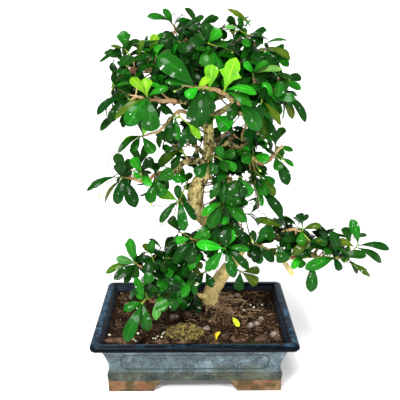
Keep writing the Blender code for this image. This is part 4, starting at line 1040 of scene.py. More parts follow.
# Leafy shoots: each carries one head of leaves or more
SHOOTS = {
    "crown_left_tip": (
        Head((-78, -8, 407), (Leaf(-2, 21, 22, 15, .9, "M"), Leaf(-16, 2, 22, 8, .5, "O"),
              Leaf(13, 7, 22, 8, .2, "M"), Leaf(-33, -11, 37, 10, .25, "D"))),
        Head((-62, -14, 397), (Leaf(5, 20, 23, 8, .4, "O"), Leaf(-20, -8, 24, 10, .6, "M"),
              Leaf(-8, -11, 22, 13, .8, "D"), Leaf(11, -9, 22, 12, .8, "D"))),
        Head((-82, 16, 393), (), 4),
    ),
    "crown_left_up": (
        Head((-51, -2, 405), (Leaf(9, 16, 22, 10, .8, "L"), Leaf(-8, 8, 22, 10, .5, "D"),
              Leaf(17, 5, 22, 11, .6, "D"))),
        Head((-52, 26, 400), (), 4),
    ),
    "crown_left_edge": (
        Head((-76, -22, 387), (Leaf(-15, -11, 22, 9, .4, "D"), Leaf(2, -15, 22, 9, .6, "M"))),
        Head((-86, -32, 376), (Leaf(17, -9, 22, 14, .85, "D"), Leaf(10, 6, 22, 9, .5, "M"),
              Leaf(-8, -15, 22, 9, .5, "D"))),
        Head((-84, 6, 371), (), 4),
    ),
    "crown_left_front": (
        Head((-51, -62, 362), (Leaf(-16, 18, 26, 11, .7, "L"), Leaf(-2, 20, 22, 13, .95, "L"),
              Leaf(23, 8, 26, 9, .6, "G"), Leaf(-22, -33, 41, 17, .85, "M"), Leaf(4, -38, 39, 19, .9, "S"),
              Leaf(-36, -24, 44, 10, .6, "O"))),
    ),
    "crown_left_out": (
        Head((-74, -48, 361), (Leaf(-32, -22, 40, 10, .4, "D"), Leaf(-20, -28, 35, 11, .7, "D"),
              Leaf(-10, 8, 22, 9, .5, "D"))),
        Head((-77, -42, 342), (Leaf(-27, -22, 36, 10, .5, "D"), Leaf(-3, -22, 24, 9, .7, "D"))),
        Head((-72, -16, 352), (), 4),
    ),
    "crown_droop_end": (
        Head((-62, -44, 314), (Leaf(-17, -8, 22, 8, .6, "L"), Leaf(-8, -18, 22, 9, .6, "M"),
              Leaf(14, -20, 26, 12, .85, "M"), Leaf(-2, 21, 23, 10, .7, "D"), Leaf(6, 16, 22, 8, .7, "L"),
              Leaf(-24, -20, 34, 8, .4, "D"))),
    ),
    "crown_top_left_end": (
        Head((-26, 12, 436), (Leaf(-27, 3, 31, 11, .5, "M"), Leaf(-10, 12, 22, 9, .7, "M"),
              Leaf(14, 9, 22, 8, .2, "M"), Leaf(14, 3, 22, 9, .6, "M"))),
        Head((-22, 38, 424), (), 4),
    ),
    "crown_top_middle": (
        Head((-5, 4, 431), (Leaf(16, 11, 22, 10, .6, "D"), Leaf(18, -15, 26, 9, .5, "P"),
              Leaf(8, -5, 22, 11, .8, "D"))),
        Head((4, 30, 430), (), 4),
    ),
    "crown_top_front": (
        Head((16, -22, 415), (Leaf(13, 12, 22, 12, .85, "G"), Leaf(-3, 21, 23, 13, .8, "D"),
              Leaf(21, -4, 23, 10, .6, "M"), Leaf(-22, -1, 24, 12, .7, "D"),
              Leaf(-3, -29, 33, 16, .85, "M"), Leaf(16, -37, 41, 10, .6, "M"))),
    ),
    "crown_upper_left": (
        Head((-16, -30, 417), (Leaf(8, -15, 22, 14, .85, "D"), Leaf(-19, 7, 22, 11, .6, "D"),
              Leaf(-11, -7, 22, 9, .7, "G"), Leaf(-4, 10, 22, 10, .4, "D"))),
    ),
    "crown_front_tip": (
        Head((1, -75, 373), (Leaf(-39, 31, 51, 21, .85, "M"), Leaf(-32, 5, 33, 9, .5, "M"),
              Leaf(12, 5, 22, 9, .7, "L"), Leaf(-13, -12, 22, 11, .9, "G"),
              Leaf(-5, -44, 46, 23, .92, "S"))),
        Head((16, -72, 371), (Leaf(3, 23, 26, 14, .95, "L"), Leaf(4, -28, 29, 18, .92, "S"))),
    ),
    "crown_front_right": (
        Head((32, -68, 368), (Leaf(12, 33, 38, 23, .95, "L"), Leaf(34, -5, 38, 10, .5, "G"),
              Leaf(30, -18, 38, 11, .6, "M"))),
    ),
    "crown_front_low": (
        Head((48, -58, 357), (Leaf(22, -34, 41, 16, .85, "S"), Leaf(-8, -24, 27, 11, .7, "D"),
              Leaf(33, -17, 38, 11, .6, "D"))),
    ),
    "crown_spire": (
        Head((69, 8, 425), (Leaf(-31, 24, 41, 9, .4, "O"), Leaf(15, 0, 22, 9, .5, "D"),
              Leaf(13, -13, 22, 9, .5, "D"))),
        Head((53, -4, 428), (Leaf(-18, 0, 22, 8, .4, "P"), Leaf(-6, 9, 22, 9, .7, "M"),
              Leaf(7, 9, 22, 9, .6, "M"))),
    ),
    "crown_right_high": (
        Head((78, 2, 408), (Leaf(29, 8, 31, 9, .3, "M"), Leaf(32, -16, 41, 10, .5, "O"),
              Leaf(-7, -16, 22, 12, .6, "D"), Leaf(-18, 2, 22, 13, .7, "D"),
              Leaf(20, -24, 34, 9, .5, "D"))),
        Head((90, 26, 402), (), 4),
    ),
    "crown_right_upright": (
        Head((66, -28, 382), (Leaf(16, 12, 22, 9, .6, "M"), Leaf(31, 4, 33, 9, .5, "P"),
              Leaf(-12, 10, 22, 10, .7, "G"), Leaf(19, -15, 26, 14, .85, "M"),
              Leaf(-15, -11, 22, 11, .5, "D"))),
    ),
    "crown_right_edge": (
        Head((89, -12, 378), (Leaf(22, -5, 27, 9, .4, "D"), Leaf(15, -16, 24, 11, .7, "S"),
              Leaf(-9, -14, 22, 10, .6, "O"))),
        Head((101, -8, 358), (Leaf(17, -6, 22, 9, .4, "D"), Leaf(29, -36, 48, 10, .5, "D"),
              Leaf(14, -30, 34, 9, .6, "O"), Leaf(12, 12, 22, 10, .6, "O"))),
        Head((104, 18, 366), (), 4),
    ),
    "crown_right_under": (
        Head((76, -36, 353), (Leaf(19, -29, 37, 10, .6, "O"), Leaf(17, -6, 22, 9, .5, "D"))),
        Head((79, -28, 332), (Leaf(8, -28, 31, 10, .7, "M"), Leaf(0, -29, 31, 11, .85, "O"),
              Leaf(15, -33, 38, 9, .4, "D"))),
    ),
    "under_crown_front": (
        Head((23, -32, 335), (Leaf(17, -15, 26, 19, .95, "G"), Leaf(-11, -11, 22, 10, .5, "D"))),
    ),
    "under_crown_left": (
        Head((-6, -38, 327), (Leaf(-6, -23, 25, 10, .7, "D"), Leaf(6, -24, 26, 11, .8, "D"),
              Leaf(14, -18, 24, 9, .7, "L"))),
        Head((-24, -38, 336), (Leaf(-5, -29, 30, 9, .6, "D"), Leaf(3, -27, 28, 9, .7, "M"),
              Leaf(-15, 9, 22, 11, .6, "D"))),
        Head((-36, -18, 322), (), 3),
    ),
    "mid_left_high": (
        Head((-16, -16, 293), (Leaf(-25, -19, 33, 12, .7, "O"), Leaf(4, 11, 22, 9, .7, "M"),
              Leaf(-13, -21, 27, 10, .6, "D"))),
        Head((-26, 10, 290), (), 4),
    ),
    "mid_left_inner": (
        Head((-45, -34, 260), (Leaf(21, 9, 25, 15, .9, "M"), Leaf(-8, -27, 29, 13, .85, "M"),
              Leaf(8, -22, 25, 13, .85, "M"), Leaf(-1, 18, 22, 9, .7, "D"))),
    ),
    "mid_left_middle": (
        Head((-63, -28, 268), (Leaf(15, 16, 24, 11, .75, "D"), Leaf(-9, 18, 22, 11, .75, "G"),
              Leaf(-12, -7, 22, 11, .7, "G"), Leaf(13, -11, 22, 9, .8, "G"))),
        Head((-66, 2, 268), (), 4),
    ),
    "mid_left_end": (
        Head((-88, -30, 263), (Leaf(-36, -16, 44, 11, .5, "D"), Leaf(0, 18, 22, 14, .7, "D"),
              Leaf(-6, -32, 33, 12, .88, "D"), Leaf(15, -35, 40, 15, .85, "D"),
              Leaf(-21, -36, 43, 8, .5, "O"))),
        Head((-86, -4, 256), (), 3),
    ),
    "mid_low_left": (
        Head((-20, -20, 230), (Leaf(-23, 11, 26, 13, .75, "L"), Leaf(-1, 18, 22, 9, .6, "D"),
              Leaf(-22, -27, 36, 9, .6, "D"), Leaf(6, -39, 41, 12, .8, "S"),
              Leaf(19, -27, 36, 9, .5, "D"))),
        Head((-8, -10, 252), (Leaf(-19, 4, 22, 11, .88, "G"), Leaf(-10, 17, 22, 10, .8, "M"))),
        Head((-18, 22, 234), (), 4),
    ),
    "mid_right_low": (
        Head((34, -28, 233), (Leaf(-26, -17, 32, 10, .65, "G"), Leaf(-18, -31, 37, 14, .85, "S"),
              Leaf(27, -22, 36, 13, .85, "M"), Leaf(5, -16, 22, 10, .8, "D"))),
        Head((41, -20, 203), (Leaf(-20, -27, 34, 14, .7, "D"), Leaf(15, -17, 24, 12, .7, "D"),
              Leaf(-2, -31, 32, 13, .7, "D"))),
    ),
    "low_front_left": (
        Head((-5, -32, 186), (Leaf(-18, -2, 19, 10, .85, "G"), Leaf(22, 10, 25, 15, .92, "M"),
              Leaf(-24, -28, 38, 12, .7, "D"), Leaf(-6, -28, 29, 13, .8, "D"))),
        Head((-20, -4, 184), (), 4),
    ),
    "low_front": (
        Head((37, -38, 175), (Leaf(-35, 7, 37, 12, .85, "G"), Leaf(10, 23, 26, 12, .9, "G"),
              Leaf(-24, -27, 37, 14, .85, "M"), Leaf(11, -35, 38, 13, .88, "S"),
              Leaf(28, -25, 39, 10, .65, "D"), Leaf(29, -2, 30, 9, .6, "M"))),
    ),
    "low_right_front": (
        Head((75, -10, 170), (Leaf(-4, 18, 22, 9, .7, "D"), Leaf(8, -24, 26, 11, .85, "M"),
              Leaf(23, 23, 33, 16, .92, "S"), Leaf(26, -21, 35, 11, .7, "D"),
              Leaf(-20, 13, 26, 14, .7, "D"))),
        Head((62, 42, 204), (), 5),
    ),
    "low_right_hang": (
        Head((61, -4, 129), (Leaf(22, 3, 23, 10, .7, "O"), Leaf(21, -15, 26, 13, .85, "O"),
              Leaf(-3, -24, 25, 13, .88, "S"))),
    ),
    "right_round": (
        Head((104, -8, 167), (Leaf(8, -21, 23, 16, .88, "S"), Leaf(-10, -10, 22, 10, .7, "O"),
              Leaf(6, 13, 22, 9, .6, "D"))),
        Head((132, -10, 153), (Leaf(-11, -14, 22, 9, .8, "G"), Leaf(9, -14, 22, 11, .8, "M"))),
        Head((108, 16, 173), (), 4),
    ),
    "right_rise": (
        Head((113, -4, 189), (Leaf(-23, 39, 46, 10, .5, "D"), Leaf(-38, 13, 41, 9, .6, "O"),
              Leaf(1, -18, 20, 12, .85, "S"), Leaf(-16, 9, 22, 9, .6, "D"))),
    ),
    "right_top": (
        Head((135, -8, 192), (Leaf(-14, 12, 22, 10, .4, "D"), Leaf(-1, 17, 22, 10, .5, "D"),
              Leaf(22, 6, 25, 9, .5, "O"), Leaf(-5, -17, 22, 11, .8, "M"))),
        Head((143, -18, 177), (Leaf(20, 0, 22, 12, .8, "D"), Leaf(-19, -19, 27, 11, .8, "O"),
              Leaf(-2, -21, 23, 13, .8, "M"))),
        Head((132, 14, 184), (), 4),
    ),
    "right_big": (
        Head((180, -14, 154), (Leaf(-13, 33, 40, 14, .65, "D"), Leaf(35, 3, 36, 12, .6, "D"),
              Leaf(-34, 20, 41, 12, .6, "D"), Leaf(4, -15, 22, 10, .7, "D"),
              Leaf(-41, -13, 45, 14, .8, "M"))),
        Head((147, -18, 148), (Leaf(-3, -36, 37, 14, .9, "S"),)),
        Head((164, 6, 174), (), 4),
    ),
    "right_end": (
        Head((206, -8, 168), (Leaf(-10, 33, 35, 12, .75, "M"), Leaf(38, -4, 39, 10, .5, "D"),
              Leaf(33, -18, 38, 12, .6, "D"), Leaf(-26, 10, 31, 11, .5, "O"))),
        Head((190, -15, 148), (Leaf(29, -18, 35, 9, .6, "O"), Leaf(15, -19, 26, 9, .6, "D"))),
        Head((200, 12, 162), (), 3),
    ),
    "low_left_end": (
        Head((-73, -38, 158), (Leaf(-5, 30, 32, 12, .85, "M"), Leaf(-22, 6, 24, 10, .85, "P"),
              Leaf(-36, -11, 39, 9, .4, "O"), Leaf(-26, -18, 33, 11, .75, "D"),
              Leaf(-15, -23, 28, 9, .75, "D"))),
        Head((-72, -12, 146), (), 4),
    ),
    "low_left_high": (
        Head((-53, -30, 165), (Leaf(2, 18, 22, 9, .6, "M"), Leaf(-11, 13, 22, 8, .5, "O"),
              Leaf(-7, -20, 24, 14, .85, "D"), Leaf(-18, -1, 22, 10, .6, "D"))),
        Head((-35, -22, 158), (Leaf(-12, 9, 22, 8, .3, "D"), Leaf(-14, -14, 22, 12, .8, "D"))),
        Head((-40, 6, 154), (), 4),
    ),
    "low_left_bright": (
        Head((-18, -26, 153), (Leaf(-27, -26, 39, 12, .8, "G"), Leaf(-11, -36, 39, 14, .8, "D"),
              Leaf(11, 9, 22, 9, .85, "G"))),
        Head((-5, -16, 147), (Leaf(10, 8, 22, 9, .85, "G"), Leaf(-8, -15, 22, 9, .85, "G"),
              Leaf(16, -6, 22, 9, .6, "O"), Leaf(5, -33, 34, 13, .8, "D"))),
    ),
    "low_left_front_end": (
        Head((-63, -62, 115), (Leaf(-19, -43, 49, 14, .88, "S"), Leaf(6, -34, 35, 13, .88, "S"),
              Leaf(-23, -8, 26, 10, .7, "M"), Leaf(-11, 29, 32, 9, .7, "M"))),
        Head((-62, -50, 132), (Leaf(10, 16, 20, 13, .88, "S"), Leaf(6, -16, 22, 12, .85, "S"))),
    ),
    "low_left_middle": (
        Head((-44, -46, 118), (Leaf(7, -18, 22, 17, .9, "M"), Leaf(-5, -29, 31, 10, .85, "P"),
              Leaf(20, -16, 26, 12, .9, "S"))),
        Head((-16, -30, 119), (Leaf(-9, -19, 22, 13, .88, "M"), Leaf(4, -27, 29, 12, .88, "S"),
              Leaf(16, -16, 25, 10, .75, "D"))),
    ),
    "low_centre": (
        Head((14, -2, 129), (Leaf(9, -19, 23, 12, .88, "S"), Leaf(-13, -17, 23, 12, .8, "D"),
              Leaf(-14, 5, 22, 9, .6, "O"))),
    ),
    "mid_front_top": (
        Head((32, -38, 285), (Leaf(-6, 14, 22, 10, .7, "M"), Leaf(5, -14, 22, 11, .85, "S"),
              Leaf(17, -12, 22, 10, .85, "G"), Leaf(17, 6, 22, 10, .7, "M"))),
        Head((16, -22, 279), (Leaf(-14, -17, 24, 15, .9, "S"), Leaf(7, -17, 22, 11, .85, "S"))),
    ),
    "mid_front_low": (
        Head((51, -44, 267), (Leaf(-10, -27, 30, 13, .8, "D"), Leaf(6, -25, 30, 15, .8, "D"),
              Leaf(18, -22, 30, 12, .8, "G"), Leaf(20, -3, 22, 11, .6, "D"))),
        Head((33, -34, 264), (Leaf(-15, -26, 31, 10, .8, "S"), Leaf(-5, -29, 31, 10, .8, "S"))),
    ),
    "mid_right_outer": (
        Head((70, -22, 286), (Leaf(16, -5, 22, 13, .85, "G"), Leaf(-14, -8, 22, 14, .85, "M"),
              Leaf(-4, 32, 34, 15, .6, "D"), Leaf(9, 12, 22, 10, .5, "D"))),
        Head((72, 4, 308), (), 4),
    ),
    "mid_right_hang": (
        Head((80, -14, 258), (Leaf(17, -23, 29, 10, .7, "O"), Leaf(6, -24, 28, 13, .8, "M"),
              Leaf(18, -11, 23, 10, .6, "M"))),
        Head((74, -8, 244), (Leaf(33, -33, 48, 11, .6, "D"), Leaf(7, -27, 32, 8, .4, "M"))),
        Head((60, 14, 262), (), 4),
        Head((52, 8, 236), (), 5),
    ),
    "mid_right_end": (
        Head((100, -12, 281), (Leaf(18, -10, 22, 8, .3, "M"), Leaf(12, -33, 37, 13, .7, "D"),
              Leaf(2, -16, 22, 11, .8, "M"), Leaf(-14, 8, 22, 9, .5, "D"))),
        Head((100, 12, 292), (), 4),
    ),
    "back_crown_left": (
        Head((-56, 66, 392), (), 4),
        Head((-36, 82, 384), (), 4),
        Head((-62, 44, 370), (), 3),
    ),
    "back_crown_right": (
        Head((96, 62, 380), (), 4),
        Head((66, 78, 384), (), 4),
        Head((96, 36, 362), (), 3),
    ),
    "back_crown_top": (
        Head((6, 62, 412), (), 4),
        Head((36, 66, 400), (), 4),
        Head((22, 88, 388), (), 3),
    ),
    "back_middle_left": (
        Head((-26, 66, 296), (), 5),
        Head((0, 68, 300), (), 3),
    ),
    "back_middle_right": (
        Head((70, 64, 298), (), 5),
        Head((48, 72, 284), (), 3),
    ),
    "back_low_right": (
        Head((48, 84, 190), (), 5),
        Head((76, 66, 184), (), 3),
        Head((46, 44, 210), (), 5),
    ),
}


class Wood:
    """Trunk, boughs and twigs."""

    TIP_ROOM = 10.0
    TWIG_RADIUS = 0.0013
    SPACING = 0.003
    THICK = 2.3
    VOXEL = 0.0011

    def __init__(self) -> None:
        """Trim the boughs at the heads of leaves and lay out close-set points along the wood."""
        centres = [Vector(head.place) for heads in SHOOTS.values() for head in heads]
        self.boughs = {name: self.trim(rows, centres) for name, rows in BOUGHS.items()}
        self.paths = {name: self.fill(rows) for name, rows in self.boughs.items()}
        self.paths["trunk"] = self.fill(TRUNK)
        self.twigs: list[tuple[Vector, Vector, float]] = []

    def trim(self, rows: tuple, centres: list[Vector]) -> list[tuple]:
        """A bough's rows ended short of the heads of leaves at its tip.

        Args:
            rows: Rows of (x, y, z, radius) in mm.
            centres: Places of the heads.

        Returns:
            The rows that are left.
        """
        rows = list(rows)
        while len(rows) > 2:
            before, last = Vector(rows[-2]), Vector(rows[-1])
            steps = max(round((last - before).length), 1)
            for step in range(steps):
                end = last.lerp(before, step / steps)
                if all((centre - end.to_3d()).length > self.TIP_ROOM for centre in centres):
                    return rows[:-1] + [tuple(end)]
            rows.pop()
        return rows

    def fill(self, rows: Iterable[tuple]) -> list[tuple[Vector, float]]:
        """Close-set points along a path with the radius at each, in metres."""
        rows = [Vector(row) * MM for row in rows]
        filled = []
        for start, end in zip(rows, rows[1:]):
            steps = max(int((end.to_3d() - start.to_3d()).length / self.SPACING), 1)
            for step in range(steps):
                here = start.lerp(end, step / steps)
                filled.append((here.to_3d(), here.w))
        filled.append((rows[-1].to_3d(), rows[-1].w))
        return filled

    def fork(self, places: list[Vector]) -> tuple[Vector, Vector, float]:
        """Where a twig leaves the wood and where it ends, for heads at some places.

        Args:
            places: Places of the heads, in metres.

        Returns:
            Root and end of the twig, and the wood's radius at its root.
        """
        middle = sum(places, Vector()) / len(places)
        best = None
        for path in self.paths.values():
            for index, (point, radius) in enumerate(path):
                distance = (middle - point).length - radius
                if best is None or distance < best[0]:
                    best = (distance, path, index)
        _, path, index = best
        gap = (middle - path[index][0]).length
        if index < len(path) - 1:
            index = max(index - round(0.45 * gap / 0.003), 1)
        root, radius = path[index]
        reach = middle - root
        length = max(0.45 * reach.length, radius + 0.002)
        return root, root + reach.normalized() * min(length, reach.length - 0.003), radius

    def add_twig(self, root: Vector, end: Vector, radius: float) -> None:
        """Keep a twig for the mesh of the wood."""
        self.twigs.append((root, end, min(self.TWIG_RADIUS * 1.15, 0.85 * radius)))

    def thick_mesh(self) -> bpy.types.Mesh:
        """Trunk and thick boughs, grown together, with swellings, plates and cracks."""
        strands = Strands("thick_wood", 5)
        for name, rows in {"trunk": list(TRUNK), **self.boughs}.items():
            stout = [row for row in rows if row[3] >= self.THICK]
            if len(stout) > 1:
                strands.add(*flowing([Vector(row[:3]) * MM for row in stout], [row[3] * MM for row in stout], 6))
        for start, end, radius in ROOTS_ON_TOP:
            middle = (Vector(start) + Vector(end)) / 2 + Vector((0, 0, 2.0))
            strands.add(*flowing([Vector(start) * MM, middle * MM, Vector(end) * MM],
                                 [radius * MM, radius * 0.75 * MM, radius * 0.3 * MM], 5))
        for place, turn, radius in KNOTS:
            centre, out = Vector(place) * MM, Vector(turn).normalized()
            strands.add([centre - out * 0.002, centre + out * radius * 0.5 * MM, centre + out * radius * 1.1 * MM],
                        [radius * MM, radius * 0.95 * MM, radius * 0.62 * MM])
        item = bpy.data.objects.new("thick_wood", strands.mesh())
        bpy.context.scene.collection.objects.link(item)
        remesh = item.modifiers.new("grow_together", "REMESH")
        remesh.mode = "VOXEL"
        remesh.voxel_size = self.VOXEL
        graph = bpy.context.evaluated_depsgraph_get()
        raw = bpy.data.meshes.new_from_object(item.evaluated_get(graph))
        bpy.data.objects.remove(item, do_unlink=True)
        bm = bmesh.new()
        bm.from_mesh(raw)
        for _ in range(3):
            bmesh.ops.smooth_vert(bm, verts=bm.verts, factor=0.5, use_axis_x=True, use_axis_y=True, use_axis_z=True)
        self.weather(bm)
        return close_bmesh(bm, "thick_wood")

    def weather(self, bm: bmesh.types.BMesh) -> None:
        """Raise plates and sink cracks in the bark, less on thin wood."""
        rows = [(point, radius) for path in self.paths.values() for point, radius in path]
        tree = KDTree(len(rows))
        for index, (point, _) in enumerate(rows):
            tree.insert(point, index)
        tree.balance()
        bm.normal_update()
        moves = []
        for vert in bm.verts:
            _, index, _ = tree.find(vert.co)
            stout = min(rows[index][1] / 0.009, 1.0)
            p = vert.co
            swell = noise.noise(p * 75) * 0.0011 + noise.noise(p * 170) * 0.0006
            ridge = abs(noise.noise(Vector((p.x * 260, p.y * 260, p.z * 120)))) * 2
            crack = max(0.0, 0.35 - ridge) * 0.0030 * min(max((p.z - 0.06) / 0.14, 0.25), 1.0)
            grain = noise.noise(p * 620) * 0.00035
            moves.append(vert.normal * (swell - crack + grain) * stout)
        for vert, move in zip(bm.verts, moves):
            vert.co += move

    def thin_mesh(self) -> bpy.types.Mesh:
        """Thin ends of the boughs, and the twigs, each a little crooked."""
        strands = Strands("thin_wood", 2)
        for name, rows in self.boughs.items():
            thin = [row for index, row in enumerate(rows) if row[3] < self.THICK + 0.6]
            if len(thin) > 1:
                self.add_crooked(strands, name, [Vector(row[:3]) * MM for row in thin],
                                 [max(row[3], 1.1) * MM for row in thin], 5)
        for number, (root, end, radius) in enumerate(self.twigs):
            sag = (end - root).length * 0.05
            middle = root.lerp(end, 0.5) - UP * sag
            self.add_crooked(strands, f"twig {number}", [root, middle, end], [radius, radius * 0.9, radius * 0.8], 4)
        return strands.mesh()

    def add_crooked(self, strands: Strands, name: str, points: list[Vector], radii: list[float],
                    steps: int) -> None:
        """Draw a twig that bends from side to side and swells at its buds."""
        draw = random.Random(name)
        course, along = flowing(points, radii, steps)
        for index in range(1, len(course) - 1):
            course[index] += Vector([draw.uniform(-1, 1) for _ in range(3)]) * along[index] * 0.35
        along = [radius * draw.uniform(0.85, 1.2) for radius in along]
        strands.add(course, along)

    def build(self) -> None:
        """Make the pieces of wood."""
        dress("trunk_and_boughs", self.thick_mesh(), [Finishes.BARK], ["trunk"])
        dress("twigs", self.thin_mesh(), [Finishes.TWIG])


class Foliage:
    """All the shoots with their leaves."""

    SHOOT_RADIUS = 0.0011
    SHOOT_TIP = 0.0009
    STEM_FOOT = 0.0024
    HEAD_RUN = 0.009
    HEAD_OVER = 0.0015
    ROOT_OUT = 0.0002
    GAP = 0.0003
    TRIES = 24
    SWINGS = (1.0, 0.6, 1.3, 0.2, -0.3, 1.6, -0.8, -1.2)

    def __init__(self, wood: Wood) -> None:
        """Start with no leaf.

        Args:
            wood: The wood that carries the shoots.
        """
        self.wood = wood
        self.cutter = LeafCutter()
        self.stems: list[tuple[list[Vector], Vector]] = []
        self.blades: list[Blade] = []

    def stem_paths(self, root: Vector, fork: Vector, places: list[Vector]) -> list[tuple]:
        """Courses, radii and axes of a shoot's stems, the later ones branching off the first."""
        ahead = (fork - root).normalized()
        paths = []
        for number, centre in enumerate(places):
            if number == 0:
                path = [fork + ahead * self.GAP, fork + ahead * self.STEM_FOOT]
                radii = [self.SHOOT_RADIUS, self.SHOOT_RADIUS]
            else:
                start = fork + ahead * (self.STEM_FOOT - 0.0004 * number)
                path = [start, start + (centre - start).normalized() * self.STEM_FOOT]
                radii = [self.SHOOT_TIP / 2, self.SHOOT_TIP]
            bend = path[-1]
            axis = (centre - bend).normalized()
            if (centre - bend).length > 2.2 * self.HEAD_RUN:
                path.append(bend.lerp(centre, 0.5) + UP * 0.04 * (centre - bend).length)
                radii.append(self.SHOOT_TIP)
                axis = (centre - path[-1]).normalized()
            path.append(centre + axis * self.HEAD_OVER)
            radii.append(self.SHOOT_TIP)
            paths.append((path, radii, axis))
        return paths

    def walk_back(self, path: list[Vector], distance: float) -> Vector:
        """Point on a stem's course, so far back from its end, but clear of its foot."""
        for end, start in zip(reversed(path), reversed(path[:-1])):
            run = (end - start).length
            if start == path[0]:
                distance = min(distance, run - self.ROOT_OUT)
            if distance <= run:
                return end.lerp(start, distance / run)
            distance -= run
        return path[0]

    def leaf_root(self, path: list[Vector], axis: Vector, reach: Vector, share: float) -> Vector:
        """Where a leaf starts on its stem, the later the further down."""
        outward = reach - axis * reach.dot(axis)
        lean = outward.length / max(reach.length, 1e-6)
        return self.walk_back(path, self.HEAD_OVER + self.HEAD_RUN * share * lean) \
            + outward.normalized() * self.ROOT_OUT * lean

    def seen_leaf(self, leaf: Leaf, draw: random.Random, attempt: int) -> tuple[Vector, Vector]:
        """Reach and facing of a leaf that is given as seen from the front, turned a little on each new try."""
        plane = Vector((leaf.right, 0, 0)) + UP_IN_VIEW * leaf.up
        depth = math.sqrt(max(leaf.length ** 2 - plane.length_squared, 0.0))
        swing = self.SWINGS[attempt % 8]
        reach = plane + TOWARDS_EYE * (depth * swing + (2.5 if swing > 0 else -2.5) * (attempt // 4))
        if attempt:
            reach += Vector((draw.uniform(-1, 1), draw.uniform(-1, 1), draw.uniform(-1, 1))) * attempt * 0.35
        return reach * MM, UP * (1 - leaf.face) + TOWARDS_EYE * leaf.face

    def spun_leaf(self, number: float, axis: Vector, draw: random.Random) -> tuple[Vector, Vector, float]:
        """Reach, facing and width of a leaf set by the turn of the stem, a golden angle after the last."""
        side = axis.orthogonal().normalized()
        turn = number * GOLDEN_ANGLE + draw.uniform(-0.5, 0.5)
        outward = side * math.cos(turn) + axis.cross(side) * math.sin(turn)
        lean = math.radians(draw.uniform(48, 82))
        reach = axis * math.cos(lean) + outward * math.sin(lean) - UP * draw.uniform(0.05, 0.4)
        return reach.normalized() * draw.uniform(24, 33) * MM, axis + UP * 0.7, draw.uniform(10, 14) * MM

    def varied(self, tone: Tone, draw: random.Random) -> Colour:
        """A tone's colour, a little lighter or darker and warmer or colder."""
        light = draw.uniform(0.72, 1.35)
        warm = draw.uniform(0.75, 1.45)
        red, green, blue = tone.colour
        return red * light * warm, green * light, blue * light

    def blade(self, base: Vector, tip: Vector, facing: Vector, width: float, tone: Tone,
              draw: random.Random, light: float = 1.0) -> Blade:
        """A leaf with the habits of its kind: arched, folded along its midrib and sometimes toothed."""
        length = (tip - base).length
        if width > 0.0225 and tone is Tone.LIME:
            shape = LeafShape.LOBED
        elif draw.random() < 0.22 and width > 0.009:
            shape = LeafShape.TOOTHED
        elif width / length > 0.42:
            shape = LeafShape.SPOON
        else:
            shape = LeafShape.SLIM
        # Painted shade: the colour is multiplied by light, less than 1 for leaves deep in the crown
        colour = tuple(value * light for value in self.varied(tone, draw))
        return Blade(base, tip, facing, width * 1.08, colour, shape, 0.16 + draw.uniform(-0.02, 0.03),
                     draw.uniform(-0.42, 0.26), draw.uniform(-0.01, 0.05), draw.uniform(-0.35, 0.35))

    def known_tip(self, name: str) -> KDTree:
        """Corners of a CAD shoot, to find the try that its leaves were placed by."""
        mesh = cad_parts["shoot_" + name].data
        tree = KDTree(len(mesh.vertices))
        for vert in mesh.vertices:
            tree.insert(vert.co - POT_PLACE, vert.index)
        tree.balance()
        return tree

    def shoot(self, name: str, heads: tuple[Head, ...]) -> None:
        """Make one shoot of the table, its leaves where the CAD shoot has them."""
        places = [Vector(head.place) * MM for head in heads]
        foremost = [Vector(head.place) * MM for head in heads if head.leaves] or places[:2]
        root, fork, radius = self.wood.fork(foremost)
        self.wood.add_twig(root, fork, radius)
        corners = self.known_tip(name)
        strands = Strands("stems")
        blades = []
        for place, (head, (path, radii, axis)) in enumerate(zip(heads, self.stem_paths(root, fork, places))):
            strands.add(*flowing(path, radii, 3))
            self.stems.append((path, axis))
            count = len(head.leaves) + head.more
            for order in range(count):
                draw = random.Random(f"{name} {place} {order}")
                best = None
                for attempt in range(self.TRIES):
                    if order < len(head.leaves):
                        leaf = head.leaves[order]
                        reach, facing = self.seen_leaf(leaf, draw, attempt)
                        width, tone = leaf.width * MM, Tone(leaf.tone)
                    else:
                        reach, facing, width = self.spun_leaf(order + attempt * 0.37, axis, draw)
                        tone = Tone("DMDG"[order % 4])
                    base = self.leaf_root(path, axis, reach, order / count)
                    miss = corners.find(base + reach)[2]
                    if best is None or (best[0] > 0.0001 and miss < 0.0001):
                        best = (miss, base, base + reach, facing, width, tone)
                _, base, tip, facing, width, tone = best
                blades.append(self.blade(base, tip, facing, width, tone, random.Random(f"{name} {place} {order} look")))
        self.blades += blades
        mesh = joined("shoot", (self.cutter.cut(blades, "leaves"), 0), (strands.mesh(), 2))
        dress("leafy_" + name, mesh, [Finishes.LEAF, Finishes.UNDERLEAF, Finishes.STEM], ["shoot_" + name])

    def build(self) -> None:
        """Make every shoot of the table."""
        for name, heads in SHOOTS.items():
            self.shoot(name, heads)


@dataclass(frozen=True)
class Window:
    """Part of the photograph, in pixels, where the ground or the trunk shows between the leaves."""

    left: float
    top: float
    right: float
    bottom: float

    def holds(self, column: float, row: float) -> bool:
        """Tell if a pixel lies in the window."""
        return self.left < column < self.right and self.top < row < self.bottom


